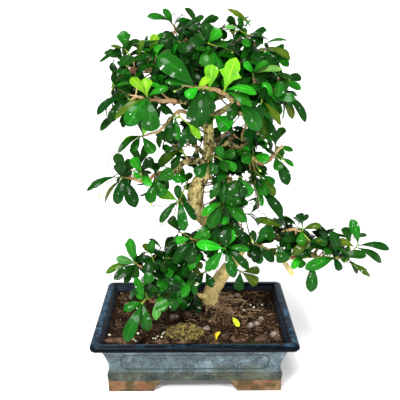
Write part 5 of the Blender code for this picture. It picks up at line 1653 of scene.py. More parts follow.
WINDOWS = (
    Window(202, 108, 216, 160), Window(188, 170, 210, 224), Window(200, 262, 234, 308),
    Window(169, 156, 176, 180), Window(186, 209, 205, 228), Window(168, 219, 190, 234), Window(80, 206, 163, 236),
    Window(203, 199, 215, 208), Window(216, 102, 229, 121), Window(218, 123, 228, 132), Window(245, 197, 262, 218),
    Window(242, 222, 257, 242), Window(262, 243, 282, 263), Window(258, 262, 307, 300), Window(238, 251, 249, 270),
    Window(255, 206, 274, 224), Window(146, 124, 158, 145), Window(160, 117, 170, 131), Window(104, 122, 121, 170),
    Window(86, 110, 104, 172), Window(151, 236, 168, 249), Window(134, 236, 142, 249), Window(100, 236, 118, 252),
    Window(143, 69, 151, 82), Window(276, 146, 330, 214), Window(300, 150, 400, 218), Window(316, 262, 400, 300),
    Window(284, 126, 330, 158), Window(60, 206, 112, 262), Window(225, 30, 233, 42),
    Window(158, 0, 200, 14), Window(203, 0, 223, 25), Window(223, 0, 250, 14), Window(250, 0, 268, 29),
    Window(268, 0, 330, 36), Window(279, 60, 330, 79), Window(290, 78, 330, 92), Window(296, 92, 330, 112),
    Window(274, 122, 330, 146), Window(80, 62, 111, 98), Window(117, 141, 132, 158), Window(130, 150, 143, 168),
    Window(150, 140, 160, 170), Window(154, 137, 168, 145), Window(184, 145, 194, 154), Window(124, 266, 142, 283),
    Window(126, 26, 141, 40), Window(141, 25, 174, 37), Window(255, 105, 262, 112), Window(233, 118, 245, 130),
)


@dataclass(frozen=True)
class Pad:
    """A cloud of small tufts of leaves that fills the crown's depth: middle, radii and count, in mm."""

    name: str
    middle: Colour
    radii: Colour
    tufts: int
    front: float = -200.0
    tones: str = "DDMDMDG"
    leaves: int = 6


PADS = (
    Pad("crown_middle", (12, 14, 384), (84, 72, 44), 120, -34),
    Pad("crown_left", (-58, 2, 366), (40, 46, 34), 40, -40),
    Pad("crown_right", (84, 6, 366), (34, 46, 36), 34, -30),
    Pad("crown_top", (14, 6, 420), (66, 44, 20), 34, -14),
    Pad("under_crown_right", (62, 2, 318), (46, 36, 26), 30, -18, "DDDMDO"),
    Pad("middle_left", (-58, -14, 266), (40, 34, 18), 22, -30),
    Pad("middle_front", (44, 2, 262), (40, 34, 30), 34, -26, "DDMDMG"),
    Pad("middle_low", (24, -4, 222), (34, 34, 26), 26, -26, "DDMDGM"),
    Pad("middle_back", (14, 58, 288), (56, 30, 30), 34, 20),
    Pad("low_middle", (14, -6, 172), (44, 34, 22), 30, -28, "DDMGDM"),
    Pad("low_left", (-38, -22, 140), (44, 34, 26), 40, -40, "DDMDGM"),
    Pad("low_right", (92, -2, 172), (38, 30, 18), 26, -14, "DDDMO"),
    Pad("right_end", (152, -8, 164), (40, 26, 16), 26, -18, "DDDMDO"),
    Pad("low_back", (62, 56, 184), (36, 34, 24), 26, 24),
    Pad("low_gap", (-5, 15, 93), (14, 12, 12), 9, -10, "DDDM"),
)


class Filling:
    """Tufts of smaller leaves behind and between the shoots, which close the tree's clouds from every side."""

    # How far out in its pad the inmost and the outmost tuft stand, in shares of the pad's radii
    INMOST = 0.45
    OUTMOST = 0.98
    # Painted shade: the factor on the colour of the inmost tuft's leaves
    INMOST_PAINTED_SHADE_FACTOR = 0.30
    # Size of the leaves in shares of a shoot's leaf: the least and greatest length, and the width
    LENGTHS = (0.70, 0.98)
    WIDTH = 0.78
    # Length of a tuft's stem in metres
    STEM = 0.0055

    def __init__(self, foliage: Foliage) -> None:
        """Start with no tuft.

        Args:
            foliage: The shoots that the tufts stand among.
        """
        self.foliage = foliage
        self.wood = foliage.wood

    def seen_open(self, blade: Blade) -> bool:
        """Tell if a leaf leaves all of the photograph's windows open."""
        for share in (0.0, 0.25, 0.5, 0.75, 1.0):
            spot = VIEW.project(blade.midrib(share))
            if any(window.holds(*spot) for window in WINDOWS):
                return False
        return True

    def tuft(self, name: str, centre: Vector, outward: Vector, pad: Pad, strands: Strands,
             light: float) -> list[Blade]:
        """Leaves of one tuft, and the stalk that carries it.

        Args:
            name: Seed of the tuft.
            centre: Its place in metres.
            outward: The way from the pad's middle.
            pad: The pad that it belongs to.
            strands: Where its stalk is drawn.
            light: Painted shade on its leaves: a factor on their colour, less than 1 deep in the crown.

        Returns:
            The leaves.
        """
        draw = random.Random(name)
        root, fork, radius = self.wood.fork([centre])
        axis = ((centre - root).normalized() + outward * 0.5 + UP * 0.5).normalized()
        blades = []
        for number in range(pad.leaves):
            reach, facing, width = self.foliage.spun_leaf(number, axis, draw)
            reach *= draw.uniform(*self.LENGTHS)
            base = centre - axis * self.STEM * number / pad.leaves
            tone = Tone(draw.choice(pad.tones))
            facing += outward * 0.3
            blade = self.foliage.blade(base, base + reach, facing, width * self.WIDTH, tone, draw, light)
            if self.seen_open(blade):
                blades.append(blade)
        if len(blades) < 2:
            return []
        bend = root.lerp(centre, 0.5) - UP * 0.06 * (centre - root).length
        course, along = flowing([root, bend, centre], [min(0.0011, radius * 0.7), 0.0009, 0.0006], 4)
        strands.add(course, along)
        return blades

    def pad(self, pad: Pad) -> None:
        """Make one pad, its tufts spread evenly over its outside and some within."""
        draw = random.Random(pad.name)
        strands = Strands("stalks")
        blades = []
        for number in range(pad.tufts):
            rise = 1 - 2 * (number + 0.5) / pad.tufts
            turn = number * GOLDEN_ANGLE
            flat = math.sqrt(1 - rise * rise)
            outward = Vector((flat * math.cos(turn), flat * math.sin(turn), rise))
            share = draw.uniform(self.INMOST, self.OUTMOST)
            centre = Vector([m + o * r * share for m, o, r in zip(pad.middle, outward, pad.radii)])
            if centre.y < pad.front or outward.z < -0.75:
                continue
            outness = (share - self.INMOST) / (self.OUTMOST - self.INMOST)
            # Painted shade: tufts deeper in the pad get darker leaf colours
            light = self.INMOST_PAINTED_SHADE_FACTOR + (1 - self.INMOST_PAINTED_SHADE_FACTOR) * outness
            blades += self.tuft(f"{pad.name} {number}", centre * MM, outward, pad, strands, light)
        mesh = joined("pad", (self.foliage.cutter.cut(blades, "leaves"), 0), (strands.mesh(), 2))
        dress("filling_" + pad.name, mesh, [Finishes.LEAF, Finishes.UNDERLEAF, Finishes.TWIG])
        self.foliage.blades += blades

    def build(self) -> None:
        """Make every pad."""
        for pad in PADS:
            self.pad(pad)


# The pot


@dataclass
class Pot:
    """The glazed pot: a rounded rectangle with a bead at its foot, a hollow wall, a lip and four clay feet."""

    width: float = 0.250
    depth: float = 0.184
    corner: float = 0.009
    corner_steps: int = 9
    foot_height: float = 0.015
    floor_top: float = 0.022
    foot_run_front: float = 0.064
    foot_run_side: float = 0.044
    foot_thick: float = 0.015
    foot_slant: float = 0.009
    foot_in: float = 0.0185
    drain_radius: float = 0.008
    drain_places: tuple[float, float] = (-0.055, 0.055)
    # Distance in from the rim's edge, height and finish, from the underside over the lip to the pot's floor
    profile: tuple[tuple[float, float, int], ...] = (
        (0.0300, 0.0150, 4), (0.0196, 0.0150, 4), (0.0186, 0.0153, 1), (0.0178, 0.0162, 1), (0.0175, 0.0175, 1),
        (0.0174, 0.0205, 1), (0.0175, 0.0232, 1), (0.0179, 0.0246, 1), (0.0188, 0.0255, 1), (0.0194, 0.0265, 1),
        (0.0196, 0.0290, 0), (0.0194, 0.0325, 0), (0.0189, 0.0370, 0), (0.0178, 0.0420, 0), (0.0163, 0.0470, 0),
        (0.0145, 0.0520, 0), (0.0125, 0.0570, 0), (0.0107, 0.0608, 0), (0.0094, 0.0632, 0), (0.0080, 0.0642, 0),
        (0.0056, 0.0645, 2), (0.0028, 0.0646, 2), (0.0012, 0.0649, 2), (0.0003, 0.0656, 2), (0.0000, 0.0666, 2),
        (0.0000, 0.0688, 2), (0.0004, 0.0702, 2), (0.0012, 0.0712, 2), (0.0026, 0.0718, 2), (0.0046, 0.0720, 2),
        (0.0080, 0.0719, 2), (0.0096, 0.0715, 2), (0.0106, 0.0707, 2), (0.0112, 0.0694, 2), (0.0130, 0.0670, 3),
        (0.0160, 0.0615, 3), (0.0202, 0.0480, 3), (0.0270, 0.0220, 3))

    def outline(self, inset: float) -> list[tuple[float, float]]:
        """Points round the pot, so far in from the rim's outer edge."""
        radius = max(self.corner - 0.6 * inset, 0.004)
        points = []
        for corner in range(4):
            sign_x = 1 if corner in (0, 1) else -1
            sign_y = -1 if corner in (0, 3) else 1
            for step in range(self.corner_steps + 1):
                angle = math.radians(-90 + 90 * corner + 90 * step / self.corner_steps)
                points.append((sign_x * (self.width / 2 - inset - radius) + radius * math.cos(angle),
                               sign_y * (self.depth / 2 - inset - radius) + radius * math.sin(angle)))
        return points

    def shell(self) -> bpy.types.Mesh:
        """The pot's wall and floor, drawn up ring by ring from its underside."""
        bm = bmesh.new()
        order = bm.verts.layers.int.new("order")
        count = 4 * (self.corner_steps + 1)
        ring = bmesh.ops.create_circle(bm, cap_ends=True, segments=count, radius=1.0)["verts"]
        for index, vert in enumerate(ring):
            vert[order] = index
        cap = bm.faces[:][0]
        for number, (inset, height, finish) in enumerate(self.profile):
            if number:
                below = cap
                made = bmesh.ops.extrude_face_region(bm, geom=[cap])["geom"]
                cap = next(item for item in made if isinstance(item, bmesh.types.BMFace))
                if number > 1:
                    bmesh.ops.delete(bm, geom=[below], context="FACES_ONLY")
            outline = self.outline(inset)
            for vert in cap.verts:
                wave = 0.0002 * math.sin(vert[order] * 0.9 + height * 300)
                x, y = outline[vert[order]]
                vert.co = (x + wave, y - wave, height)
            if number:
                for edge in cap.edges:
                    for face in edge.link_faces:
                        if face is not cap:
                            face.material_index = finish
        cap.material_index = 3
        bmesh.ops.recalc_face_normals(bm, faces=bm.faces)
        return close_bmesh(bm, "pot_shell")

    def drilled(self, mesh: bpy.types.Mesh) -> bpy.types.Mesh:
        """The pot with its two drain holes cut through the floor."""
        item = bpy.data.objects.new("pot_shell", mesh)
        bpy.context.scene.collection.objects.link(item)
        bm = bmesh.new()
        for place in self.drain_places:
            bmesh.ops.create_cone(bm, cap_ends=True, segments=32, radius1=self.drain_radius,
                                  radius2=self.drain_radius, depth=0.016,
                                  matrix=Matrix.Translation((place, 0, 0.0185)))
        drill = bpy.data.objects.new("drill", close_bmesh(bm, "drill", False))
        bpy.context.scene.collection.objects.link(drill)
        boolean = item.modifiers.new("drain_holes", "BOOLEAN")
        boolean.operation = "DIFFERENCE"
        boolean.object = drill
        graph = bpy.context.evaluated_depsgraph_get()
        holed = bpy.data.meshes.new_from_object(item.evaluated_get(graph))
        bpy.data.objects.remove(item, do_unlink=True)
        bpy.data.objects.remove(drill, do_unlink=True)
        return holed

    def feet(self) -> bpy.types.Mesh:
        """Four L-shaped feet of bare clay, their ends slanting inwards, with worn and chipped edges."""
        bm = bmesh.new()
        corner_x = self.width / 2 - self.foot_in
        corner_y = self.depth / 2 - self.foot_in
        top = self.foot_height + 0.0002
        run, side, thick = self.foot_run_front, self.foot_run_side, self.foot_thick
        outline = ((0, 0), (run, 0), (run, thick), (thick, thick), (thick, side), (0, side))
        for side_x in (-1, 1):
            for side_y in (-1, 1):
                lid = bm.faces.new([bm.verts.new((x, y, top)) for x, y in outline])
                made = bmesh.ops.extrude_face_region(bm, geom=[lid])["geom"]
                sole = [item for item in made if isinstance(item, bmesh.types.BMVert)]
                for vert in sole:
                    end_x = self.foot_slant if vert.co.x > run - 0.001 else 0.0
                    end_y = self.foot_slant if vert.co.y > side - 0.001 else 0.0
                    vert.co = (vert.co.x - end_x, vert.co.y - end_y, 0.0)
                for vert in (*lid.verts, *sole):
                    vert.co = (side_x * (corner_x - vert.co.x), side_y * (corner_y - vert.co.y), vert.co.z)
        bmesh.ops.recalc_face_normals(bm, faces=bm.faces)
        bmesh.ops.bevel(bm, geom=[edge for edge in bm.edges if edge.verts[0].co.z < 0.01 or edge.verts[1].co.z < 0.01],
                        offset=0.0009, segments=2, profile=0.5, affect="EDGES", material=-1)
        bmesh.ops.triangulate(bm, faces=bm.faces)
        for _ in range(4):
            long = [edge for edge in bm.edges if edge.calc_length() > 0.0035]
            bmesh.ops.subdivide_edges(bm, edges=long, cuts=1, use_grid_fill=False)
            bmesh.ops.triangulate(bm, faces=bm.faces)
        bm.normal_update()
        for vert in bm.verts:
            if 0.0004 < vert.co.z < top - 0.0004:
                chip = max(0.0, noise.noise(vert.co * 210) - 0.22) * 0.0035
                vert.co += vert.normal * (noise.noise(vert.co * 420) * 0.0003 - chip)
                vert.co.z = max(vert.co.z, 0.0)
        return close_bmesh(bm, "feet")

    def screen(self, place: float) -> bpy.types.Mesh:
        """A square of plastic mesh that keeps the soil from falling through a drain hole."""
        bm = bmesh.new()
        cells = 11
        bmesh.ops.create_grid(bm, x_segments=cells, y_segments=cells, size=0.015)
        step = 0.030 / cells
        windows = []
        for face in bm.faces:
            centre = face.calc_center_median()
            column = round((centre.x + 0.015) / step - 0.5)
            row = round((centre.y + 0.015) / step - 0.5)
            if column % 2 and row % 2:
                windows.append(face)
        bmesh.ops.delete(bm, geom=windows, context="FACES")
        made = bmesh.ops.extrude_face_region(bm, geom=bm.faces[:])["geom"]
        bmesh.ops.translate(bm, verts=[item for item in made if isinstance(item, bmesh.types.BMVert)],
                            vec=(0, 0, 0.0012))
        bmesh.ops.translate(bm, verts=bm.verts, vec=(place, 0, self.floor_top + 0.0003))
        bmesh.ops.recalc_face_normals(bm, faces=bm.faces)
        return close_bmesh(bm, "screen", False)

    def build(self) -> None:
        """Make the pot, its feet and its drain screens."""
        dress("pot_body", self.drilled(self.shell()),
              [Finishes.BODY, Finishes.BEAD, Finishes.RIM, Finishes.INNER, Finishes.CLAY], ["pot"])
        dress("pot_feet", self.feet(), [Finishes.CLAY])
        for name, place in zip(("left", "right"), self.drain_places):
            dress("drain_mesh_" + name, self.screen(place), [Finishes.SCREEN],
                  ["drain_screen_" + name])


# The soil


@dataclass(frozen=True)
class Lump:
    """A stone, chip or clod on the soil: place, size and turn in mm and degrees, finish and roughness of form."""

    place: tuple[float, float]
    size: Colour
    turn: float
    finish: object
    rough: float = 0.25


@dataclass
class Soil:
    """The soil in the pot with all that lies on it."""

    pot: Pot
    edge: float = 0.0640
    bottom: float = 0.0238
    gap: float = 0.0004
    # From the rim's outside to the wall's inside at the soil's edge
    wall: float = 0.0148
    # Width and depth at the bottom in shares of those at the top
    narrowing: tuple[float, float] = (0.885, 0.835)
    columns: int = 120
    rows: int = 84
    # Roughness of the top: humps to the metre and their height in metres, and how far it is sunk
    roughness: tuple = ((90, 0.0012), (240, 0.0010), (600, 0.0006))
    sunk: float = 0.0004
    # Mounds: place, reach and height in mm
    mounds: tuple = ((20, 33, 42, 4.0), (-12, -50, 20, 8.0), (-40, -46, 30, 1.5), (62, -20, 34, 2.0))
    crumbs: int = 1500
    fibres: int = 800
    bits: int = 420
    roots: int = 170
    # Surface roots: the trunk's foot with the radius where they leave it, and the tangle's middle and spread
    foot: tuple[float, float] = (0.019, 0.033)
    foot_radius: float = 0.010
    tangle: tuple[float, float] = (0.040, 0.024)
    tangle_spread: tuple[float, float] = (0.024, 0.022)
    root_lengths: tuple[float, float] = (0.008, 0.028)
    root_radii: tuple = (0.00022, 0.00026, 0.0003, 0.0004, 0.0005, 0.0007)
    root_steps: int = 8
    # Moss in front of the trunk: number of knobs, its middle, its reach and how far it swells up
    knobs: int = 300
    moss: tuple[float, float] = (-0.012, -0.048)
    moss_reach: tuple[float, float] = (0.0235, 0.0195)
    moss_swell: float = 0.0030

    def height(self, x: float, y: float) -> float:
        """Height of the soil's surface without its crumbs."""
        height = self.edge
        for mound_x, mound_y, reach, rise in self.mounds:
            distance = math.hypot(x - mound_x * MM, y - mound_y * MM) / (reach * MM)
            height += rise * MM * math.exp(-distance * distance)
        return height

    def top(self, x: float, y: float) -> float:
        """Height of the rough surface."""
        p = Vector((x, y, 0))
        rough = sum(noise.noise(p * scale) * rise for scale, rise in self.roughness)
        return self.height(x, y) + rough - self.sunk

    def seen_at(self, column: float, row: float) -> Vector:
        """Place on the soil that is seen at a column and row of the photograph."""
        place = VIEW.on_level(column, row, self.edge)
        for _ in range(4):
            place = VIEW.on_level(column, row, self.height(place.x, place.y))
        return place

    def half_sizes(self) -> tuple[float, float, float]:
        """Half width, half depth and corner radius of the soil's edge."""
        inset = self.wall + self.gap
        radius = max(self.pot.corner - 0.6 * inset, 0.004)
        return self.pot.width / 2 - inset, self.pot.depth / 2 - inset, radius

    def within(self, x: float, y: float, margin: float = 0.003) -> bool:
        """Tell if a place lies on the soil, clear of the pot's wall."""
        half_x, half_y, radius = self.half_sizes()
        over_x, over_y = abs(x) - half_x + radius + margin, abs(y) - half_y + radius + margin
        if over_x > radius or over_y > radius:
            return False
        return over_x < 0 or over_y < 0 or math.hypot(over_x, over_y) < radius

    def ground(self) -> bpy.types.Mesh:
        """The body of soil with its rough top."""
        half_x, half_y, radius = self.half_sizes()
        bm = bmesh.new()
        bmesh.ops.create_grid(bm, x_segments=self.columns, y_segments=self.rows, size=1.0)
        for vert in bm.verts:
            x, y = vert.co.x * half_x, vert.co.y * half_y
            corner_x, corner_y = half_x - radius, half_y - radius
            over_x, over_y = abs(x) - corner_x, abs(y) - corner_y
            if over_x > 0 and over_y > 0:
                reach = max(over_x, over_y)
                length = math.hypot(over_x, over_y)
                x = math.copysign(corner_x + over_x * reach / length, x)
                y = math.copysign(corner_y + over_y * reach / length, y)
            vert.co = (x, y, self.top(x, y))
        rim = [edge for edge in bm.edges if edge.is_boundary]
        walls = bmesh.ops.extrude_edge_only(bm, edges=rim)["geom"]
        lower = [item for item in walls if isinstance(item, bmesh.types.BMVert)]
        for vert in lower:
            vert.co = (vert.co.x * self.narrowing[0], vert.co.y * self.narrowing[1], self.bottom)
        bmesh.ops.contextual_create(bm, geom=[edge for edge in bm.edges if edge.is_boundary])
        bmesh.ops.recalc_face_normals(bm, faces=bm.faces)
        return close_bmesh(bm, "ground")

    def scatter(self, draw: random.Random) -> tuple[float, float]:
        """A place on the soil, drawn evenly."""
        half_x, half_y, _ = self.half_sizes()
        while True:
            x, y = draw.uniform(-half_x, half_x), draw.uniform(-half_y, half_y)
            if self.within(x, y):
                return x, y

    def crumb_mesh(self, name: str, count: int, sizes: tuple[float, float], lift: float = 0.2) -> bpy.types.Mesh:
        """Small crumbs strewn over the soil.

        Args:
            name: Seed and name.
            count: Number of crumbs.
            sizes: Least and greatest radius in metres.
            lift: How far a crumb stands out, in shares of its radius.

        Returns:
            The mesh.
        """
        draw = random.Random(name)
        bm = bmesh.new()
        for _ in range(count):
            x, y = self.scatter(draw)
            radius = draw.uniform(*sizes) * draw.uniform(0.6, 1.0)
            turn = Matrix.Rotation(draw.uniform(0, math.tau), 4, (draw.random(), draw.random(), 1))
            stretch = [draw.uniform(0.6, 1.4), draw.uniform(0.6, 1.2), draw.uniform(0.4, 0.9)]
            size = Matrix.Diagonal((*stretch, 1))
            place = Matrix.Translation((x, y, self.top(x, y) + radius * lift))
            matrix = place @ turn @ size
            for vert in bmesh.ops.create_icosphere(bm, subdivisions=1, radius=radius, matrix=matrix)["verts"]:
                vert.co += Vector([draw.uniform(-1, 1) for _ in range(3)]) * radius * 0.22
        return close_bmesh(bm, name, False)

    def fibre_mesh(self, name: str, count: int, lengths: tuple[float, float], radius: float) -> bpy.types.Mesh:
        """Fibres and rootlets that lie over the crumbs in loose curves."""
        draw = random.Random(name)
        strands = Strands(name, 0)
        for _ in range(count):
            x, y = self.scatter(draw)
            heading, bend = draw.uniform(0, math.tau), draw.uniform(-0.5, 0.5)
            length, lift = draw.uniform(*lengths), draw.uniform(0.0004, 0.0022)
            points, radii = [], []
            steps = 6
            for step in range(steps + 1):
                if not self.within(x, y):
                    break
                arch = math.sin(math.pi * step / steps)
                points.append(Vector((x, y, self.top(x, y) + 0.0001 + lift * arch)))
                radii.append(radius * (0.55 + 0.5 * arch))
                heading += bend + draw.uniform(-0.35, 0.35)
                x += math.cos(heading) * length / steps
                y += math.sin(heading) * length / steps
            if len(points) > 2:
                strands.add(points, radii)
        return strands.mesh()

    def root_mesh(self) -> bpy.types.Mesh:
        """Tan surface roots that wander and tangle at the trunk's foot and to its right."""
        draw = random.Random("roots")
        strands = Strands("roots", 1)
        for number in range(self.roots):
            if number % 5 == 0:
                angle = math.radians(draw.uniform(-80, 60))
                x = self.foot[0] + self.foot_radius * math.cos(angle)
                y = self.foot[1] + self.foot_radius * math.sin(angle)
            else:
                angle = draw.uniform(0, math.tau)
                x, y = (draw.gauss(middle, spread) for middle, spread in zip(self.tangle, self.tangle_spread))
            length = draw.uniform(*self.root_lengths)
            points, radii = [], []
            heading, bend = angle, draw.uniform(-0.35, 0.35)
            thick = draw.choice(self.root_radii)
            for step in range(self.root_steps + 1):
                if not self.within(x, y):
                    break
                arch = math.sin(math.pi * step / self.root_steps)
                lift = (0.0006 + draw.uniform(0.0005, 0.0035) * arch) if number % 3 else 0.0008
                points.append(Vector((x, y, self.top(x, y) + lift)))
                radii.append(thick * (1.1 - 0.08 * step))
                heading += bend + draw.uniform(-0.75, 0.75)
                x += math.cos(heading) * length / self.root_steps
                y += math.sin(heading) * length / self.root_steps
            if len(points) > 3:
                points[-1].z -= 0.0015
                strands.add(*flowing(points, radii, 2))
        return strands.mesh()

    def lump_mesh(self, lump: Lump, number: int) -> bpy.types.Mesh:
        """One stone, chip or clod, sunk a little in the soil."""
        bm = bmesh.new()
        x, y = (value * MM for value in lump.place)
        half = Vector(lump.size) * MM / 2
        place = Matrix.Translation((x, y, self.height(x, y) + half.z * 0.45))
        matrix = place @ Matrix.Rotation(math.radians(lump.turn), 4, "Z") @ Matrix.Diagonal((*half, 1))
        bmesh.ops.create_icosphere(bm, subdivisions=4, radius=1.0)
        for vert in bm.verts:
            p = vert.co.copy()
            shift = noise.noise(p * 1.6 + Vector((number * 3.1, 0, 0))) * lump.rough * 1.6
            shift += noise.noise(p * 4.5 + Vector((0, number * 1.7, 0))) * lump.rough
            vert.co = p * (1 + shift)
        bmesh.ops.transform(bm, matrix=matrix, verts=bm.verts)
        bmesh.ops.recalc_face_normals(bm, faces=bm.faces)
        return close_bmesh(bm, f"lump {number}")

    def moss_mound(self) -> bpy.types.Mesh:
        """The knobbly clod of moss in front of the trunk."""
        draw = random.Random("moss mound")
        bm = bmesh.new()
        for _ in range(self.knobs):
            angle, reach = draw.uniform(0, math.tau), math.sqrt(draw.random())
            x = self.moss[0] + self.moss_reach[0] * reach * math.cos(angle)
            y = self.moss[1] + self.moss_reach[1] * reach * math.sin(angle)
            if not self.within(x, y):
                continue
            radius = draw.uniform(0.0009, 0.0030)
            swell = self.moss_swell * (1 - reach * reach)
            height = self.height(x, y) + swell + draw.uniform(-0.0020, 0.0012)
            stretch = [draw.uniform(0.7, 1.3), draw.uniform(0.7, 1.2), draw.uniform(0.6, 1.1)]
            size = Matrix.Diagonal((*stretch, 1))
            made = bmesh.ops.create_icosphere(bm, subdivisions=2, radius=radius,
                                              matrix=Matrix.Translation((x, y, height)) @ size)["verts"]
            for vert in made:
                vert.co += noise.noise_vector(vert.co * 900) * radius * 0.35
        return close_bmesh(bm, "moss_mound")

    def fallen_leaf(self, stalk: tuple[float, float], tip: tuple[float, float], cutter: LeafCutter,
                    tone: Tone) -> bpy.types.Mesh:
        """A yellowed leaf that lies on the soil on its stalk end and its tip."""
        ends = [Vector((x * MM, y * MM, self.height(x * MM, y * MM) + 0.0016)) for x, y in (stalk, tip)]
        facing = (UP + Vector((-0.35, -0.45, 0))).normalized()
        blade = Blade(ends[0], ends[1], facing, 0.0068, tone.colour, LeafShape.SLIM, 0.12, -0.35)
        return cutter.cut([blade], "fallen")

    def grains(self) -> list[Lump]:
        """The white grains that the photograph shows in front and at the right."""
        grains = []
        for number, (column, row, size) in enumerate(GRAINS):
            place = self.seen_at(column, row) / MM
            grains.append(Lump((place.x, place.y), size, GRAIN_TURN * number % 90, Finishes.PERLITE, 0.3))
        return grains

    def build(self, cutter: LeafCutter) -> None:
        """Make the soil and its litter."""
        dress("soil_body", self.ground(), [Finishes.GROUND], ["soil"])
        dress("soil_crumbs", self.crumb_mesh("crumbs", self.crumbs, (0.0005, 0.0017)), [Finishes.CRUMB])
        dress("bark_bits", self.crumb_mesh("bits", self.bits, (0.0006, 0.0016), 0.5), [Finishes.BITS])
        dress("soil_fibres", self.fibre_mesh("fibres", self.fibres, (0.008, 0.022), 0.00026), [Finishes.FIBRE])
        dress("surface_roots", self.root_mesh(), [Finishes.ROOT])
        dress("moss_mound", self.moss_mound(), [Finishes.MOSS])
        for number, lump in enumerate([*LUMPS, *self.grains(), *GRAINS_BEHIND]):
            dress(f"{lump.finish.name}_{number}", self.lump_mesh(lump, number), [lump.finish])
        for name, (stalk, tip, tone) in FALLEN.items():
            dress("yellow_" + name, self.fallen_leaf(stalk, tip, cutter, tone), [Finishes.LEAF, Finishes.LEAF],
                  [name])


# Flowers, buds and wisps


class End(Enum):
    """What a sprig ends in."""

    BUD = "bud"
    FLOWER = "flower"
    BARE = "bare"


@dataclass(frozen=True)
class Sprig:
    """A thin stalk drawn through places of the photograph, in pixels, at a depth in mm behind the pot's middle."""

    spots: tuple[tuple[float, float], ...]
    depth: float
    end: End
    size: float = 1.7
    thick: float = 0.45


class Sprigs:
    """Flower stalks, buds, flowers and dry leaf stalks, each springing from its nearest stem."""

    def __init__(self, foliage: Foliage) -> None:
        """Start with no sprig.

        Args:
            foliage: The shoots that the sprigs grow on.
        """
        self.foliage = foliage
        self.nodes = [(point, axis) for path, axis in foliage.stems for point in path]

    def root(self, place: Vector) -> Vector:
        """Point of the nearest stem or wood."""
        wood = [point for path in self.foliage.wood.paths.values() for point, _ in path]
        return min([point for point, _ in self.nodes] + wood, key=lambda point: (point - place).length)

    def flower(self, place: Vector, axis: Vector, size: float, seed: str) -> list[Blade]:
        """Five petals that open from a flower's heart."""
        draw = random.Random(seed)
        side = axis.orthogonal().normalized()
        other = axis.cross(side)
        petals = []
        for number in range(5):
            turn = math.tau * number / 5 + draw.uniform(-0.12, 0.12)
            out = side * math.cos(turn) + other * math.sin(turn)
            tip = place + (out + axis * draw.uniform(0.15, 0.45)) * size * MM
            petals.append(Blade(place + out * 0.0005, tip, axis, size * 0.62 * MM, Tone.WHITE.colour,
                                LeafShape.PETAL, 0.06, 0.2, draw.uniform(0.0, 0.12), 0.0, 0.0002))
        return petals

    def build(self) -> None:
        """Make the sprigs, and the flower of the CAD model."""
        strands, wisps = Strands("sprig_stalks", 1), Strands("dry_wisps", 1)
        buds, hearts = bmesh.new(), bmesh.new()
        petals: list[Blade] = []
        for number, sprig in enumerate(SPRIGS):
            places = [VIEW.place(column, row, sprig.depth) for column, row in sprig.spots]
            root = self.root(places[0])
            run = [root] + [place for place in places if (place - root).length > 0.001]
            if len(run) < 2:
                continue
            thick = sprig.thick * MM
            course, along = flowing(run, [thick * 1.2] + [thick * 0.9] * (len(run) - 1), 5)
            (wisps if sprig.end is End.BARE else strands).add(course, along)
            axis = (course[-1] - course[-2]).normalized()
            if sprig.end is End.BUD:
                turn = axis.to_track_quat("Z", "Y").to_matrix().to_4x4()
                matrix = Matrix.Translation(course[-1]) @ turn @ Matrix.Diagonal((0.72, 0.72, 1.15, 1))
                bmesh.ops.create_icosphere(buds, subdivisions=2, radius=sprig.size * MM, matrix=matrix)
            elif sprig.end is End.FLOWER:
                face = (axis + TOWARDS_EYE * 1.4).normalized()
                petals += self.flower(course[-1], face, sprig.size, f"flower {number}")
                bmesh.ops.create_icosphere(hearts, subdivisions=2, radius=sprig.size * 0.2 * MM,
                                           matrix=Matrix.Translation(course[-1] + face * 0.0004))
        path, axis = next((path, axis) for path, axis in self.foliage.stems
                          if (path[-1] - Vector((51, -44, 267)) * MM).length < 0.004)
        centre = path[-1] + axis * 0.0092
        strands.add([path[-1], centre], [0.0005, 0.0005])
        main = self.flower(centre, (axis + TOWARDS_EYE * 0.4).normalized(), 6.0, "front flower")
        heart = bmesh.new()
        bmesh.ops.create_icosphere(heart, subdivisions=2, radius=0.0011, matrix=Matrix.Translation(centre))
        dress("front_flower", joined("flower", (self.foliage.cutter.cut(main, "petals"), 0),
                                     (close_bmesh(heart, "heart"), 2)),
              [Finishes.PETAL, Finishes.PETAL, Finishes.HEART], ["flower_front"])
        dress("small_flowers", joined("flowers", (self.foliage.cutter.cut(petals, "petals"), 0),
                                      (close_bmesh(hearts, "hearts"), 2)),
              [Finishes.PETAL, Finishes.PETAL, Finishes.HEART])
        dress("buds", close_bmesh(buds, "buds"), [Finishes.BUD])
        dress("sprig_stalks", strands.mesh(), [Finishes.STEM])
        dress("dry_wisps", wisps.mesh(), [Finishes.WISP])


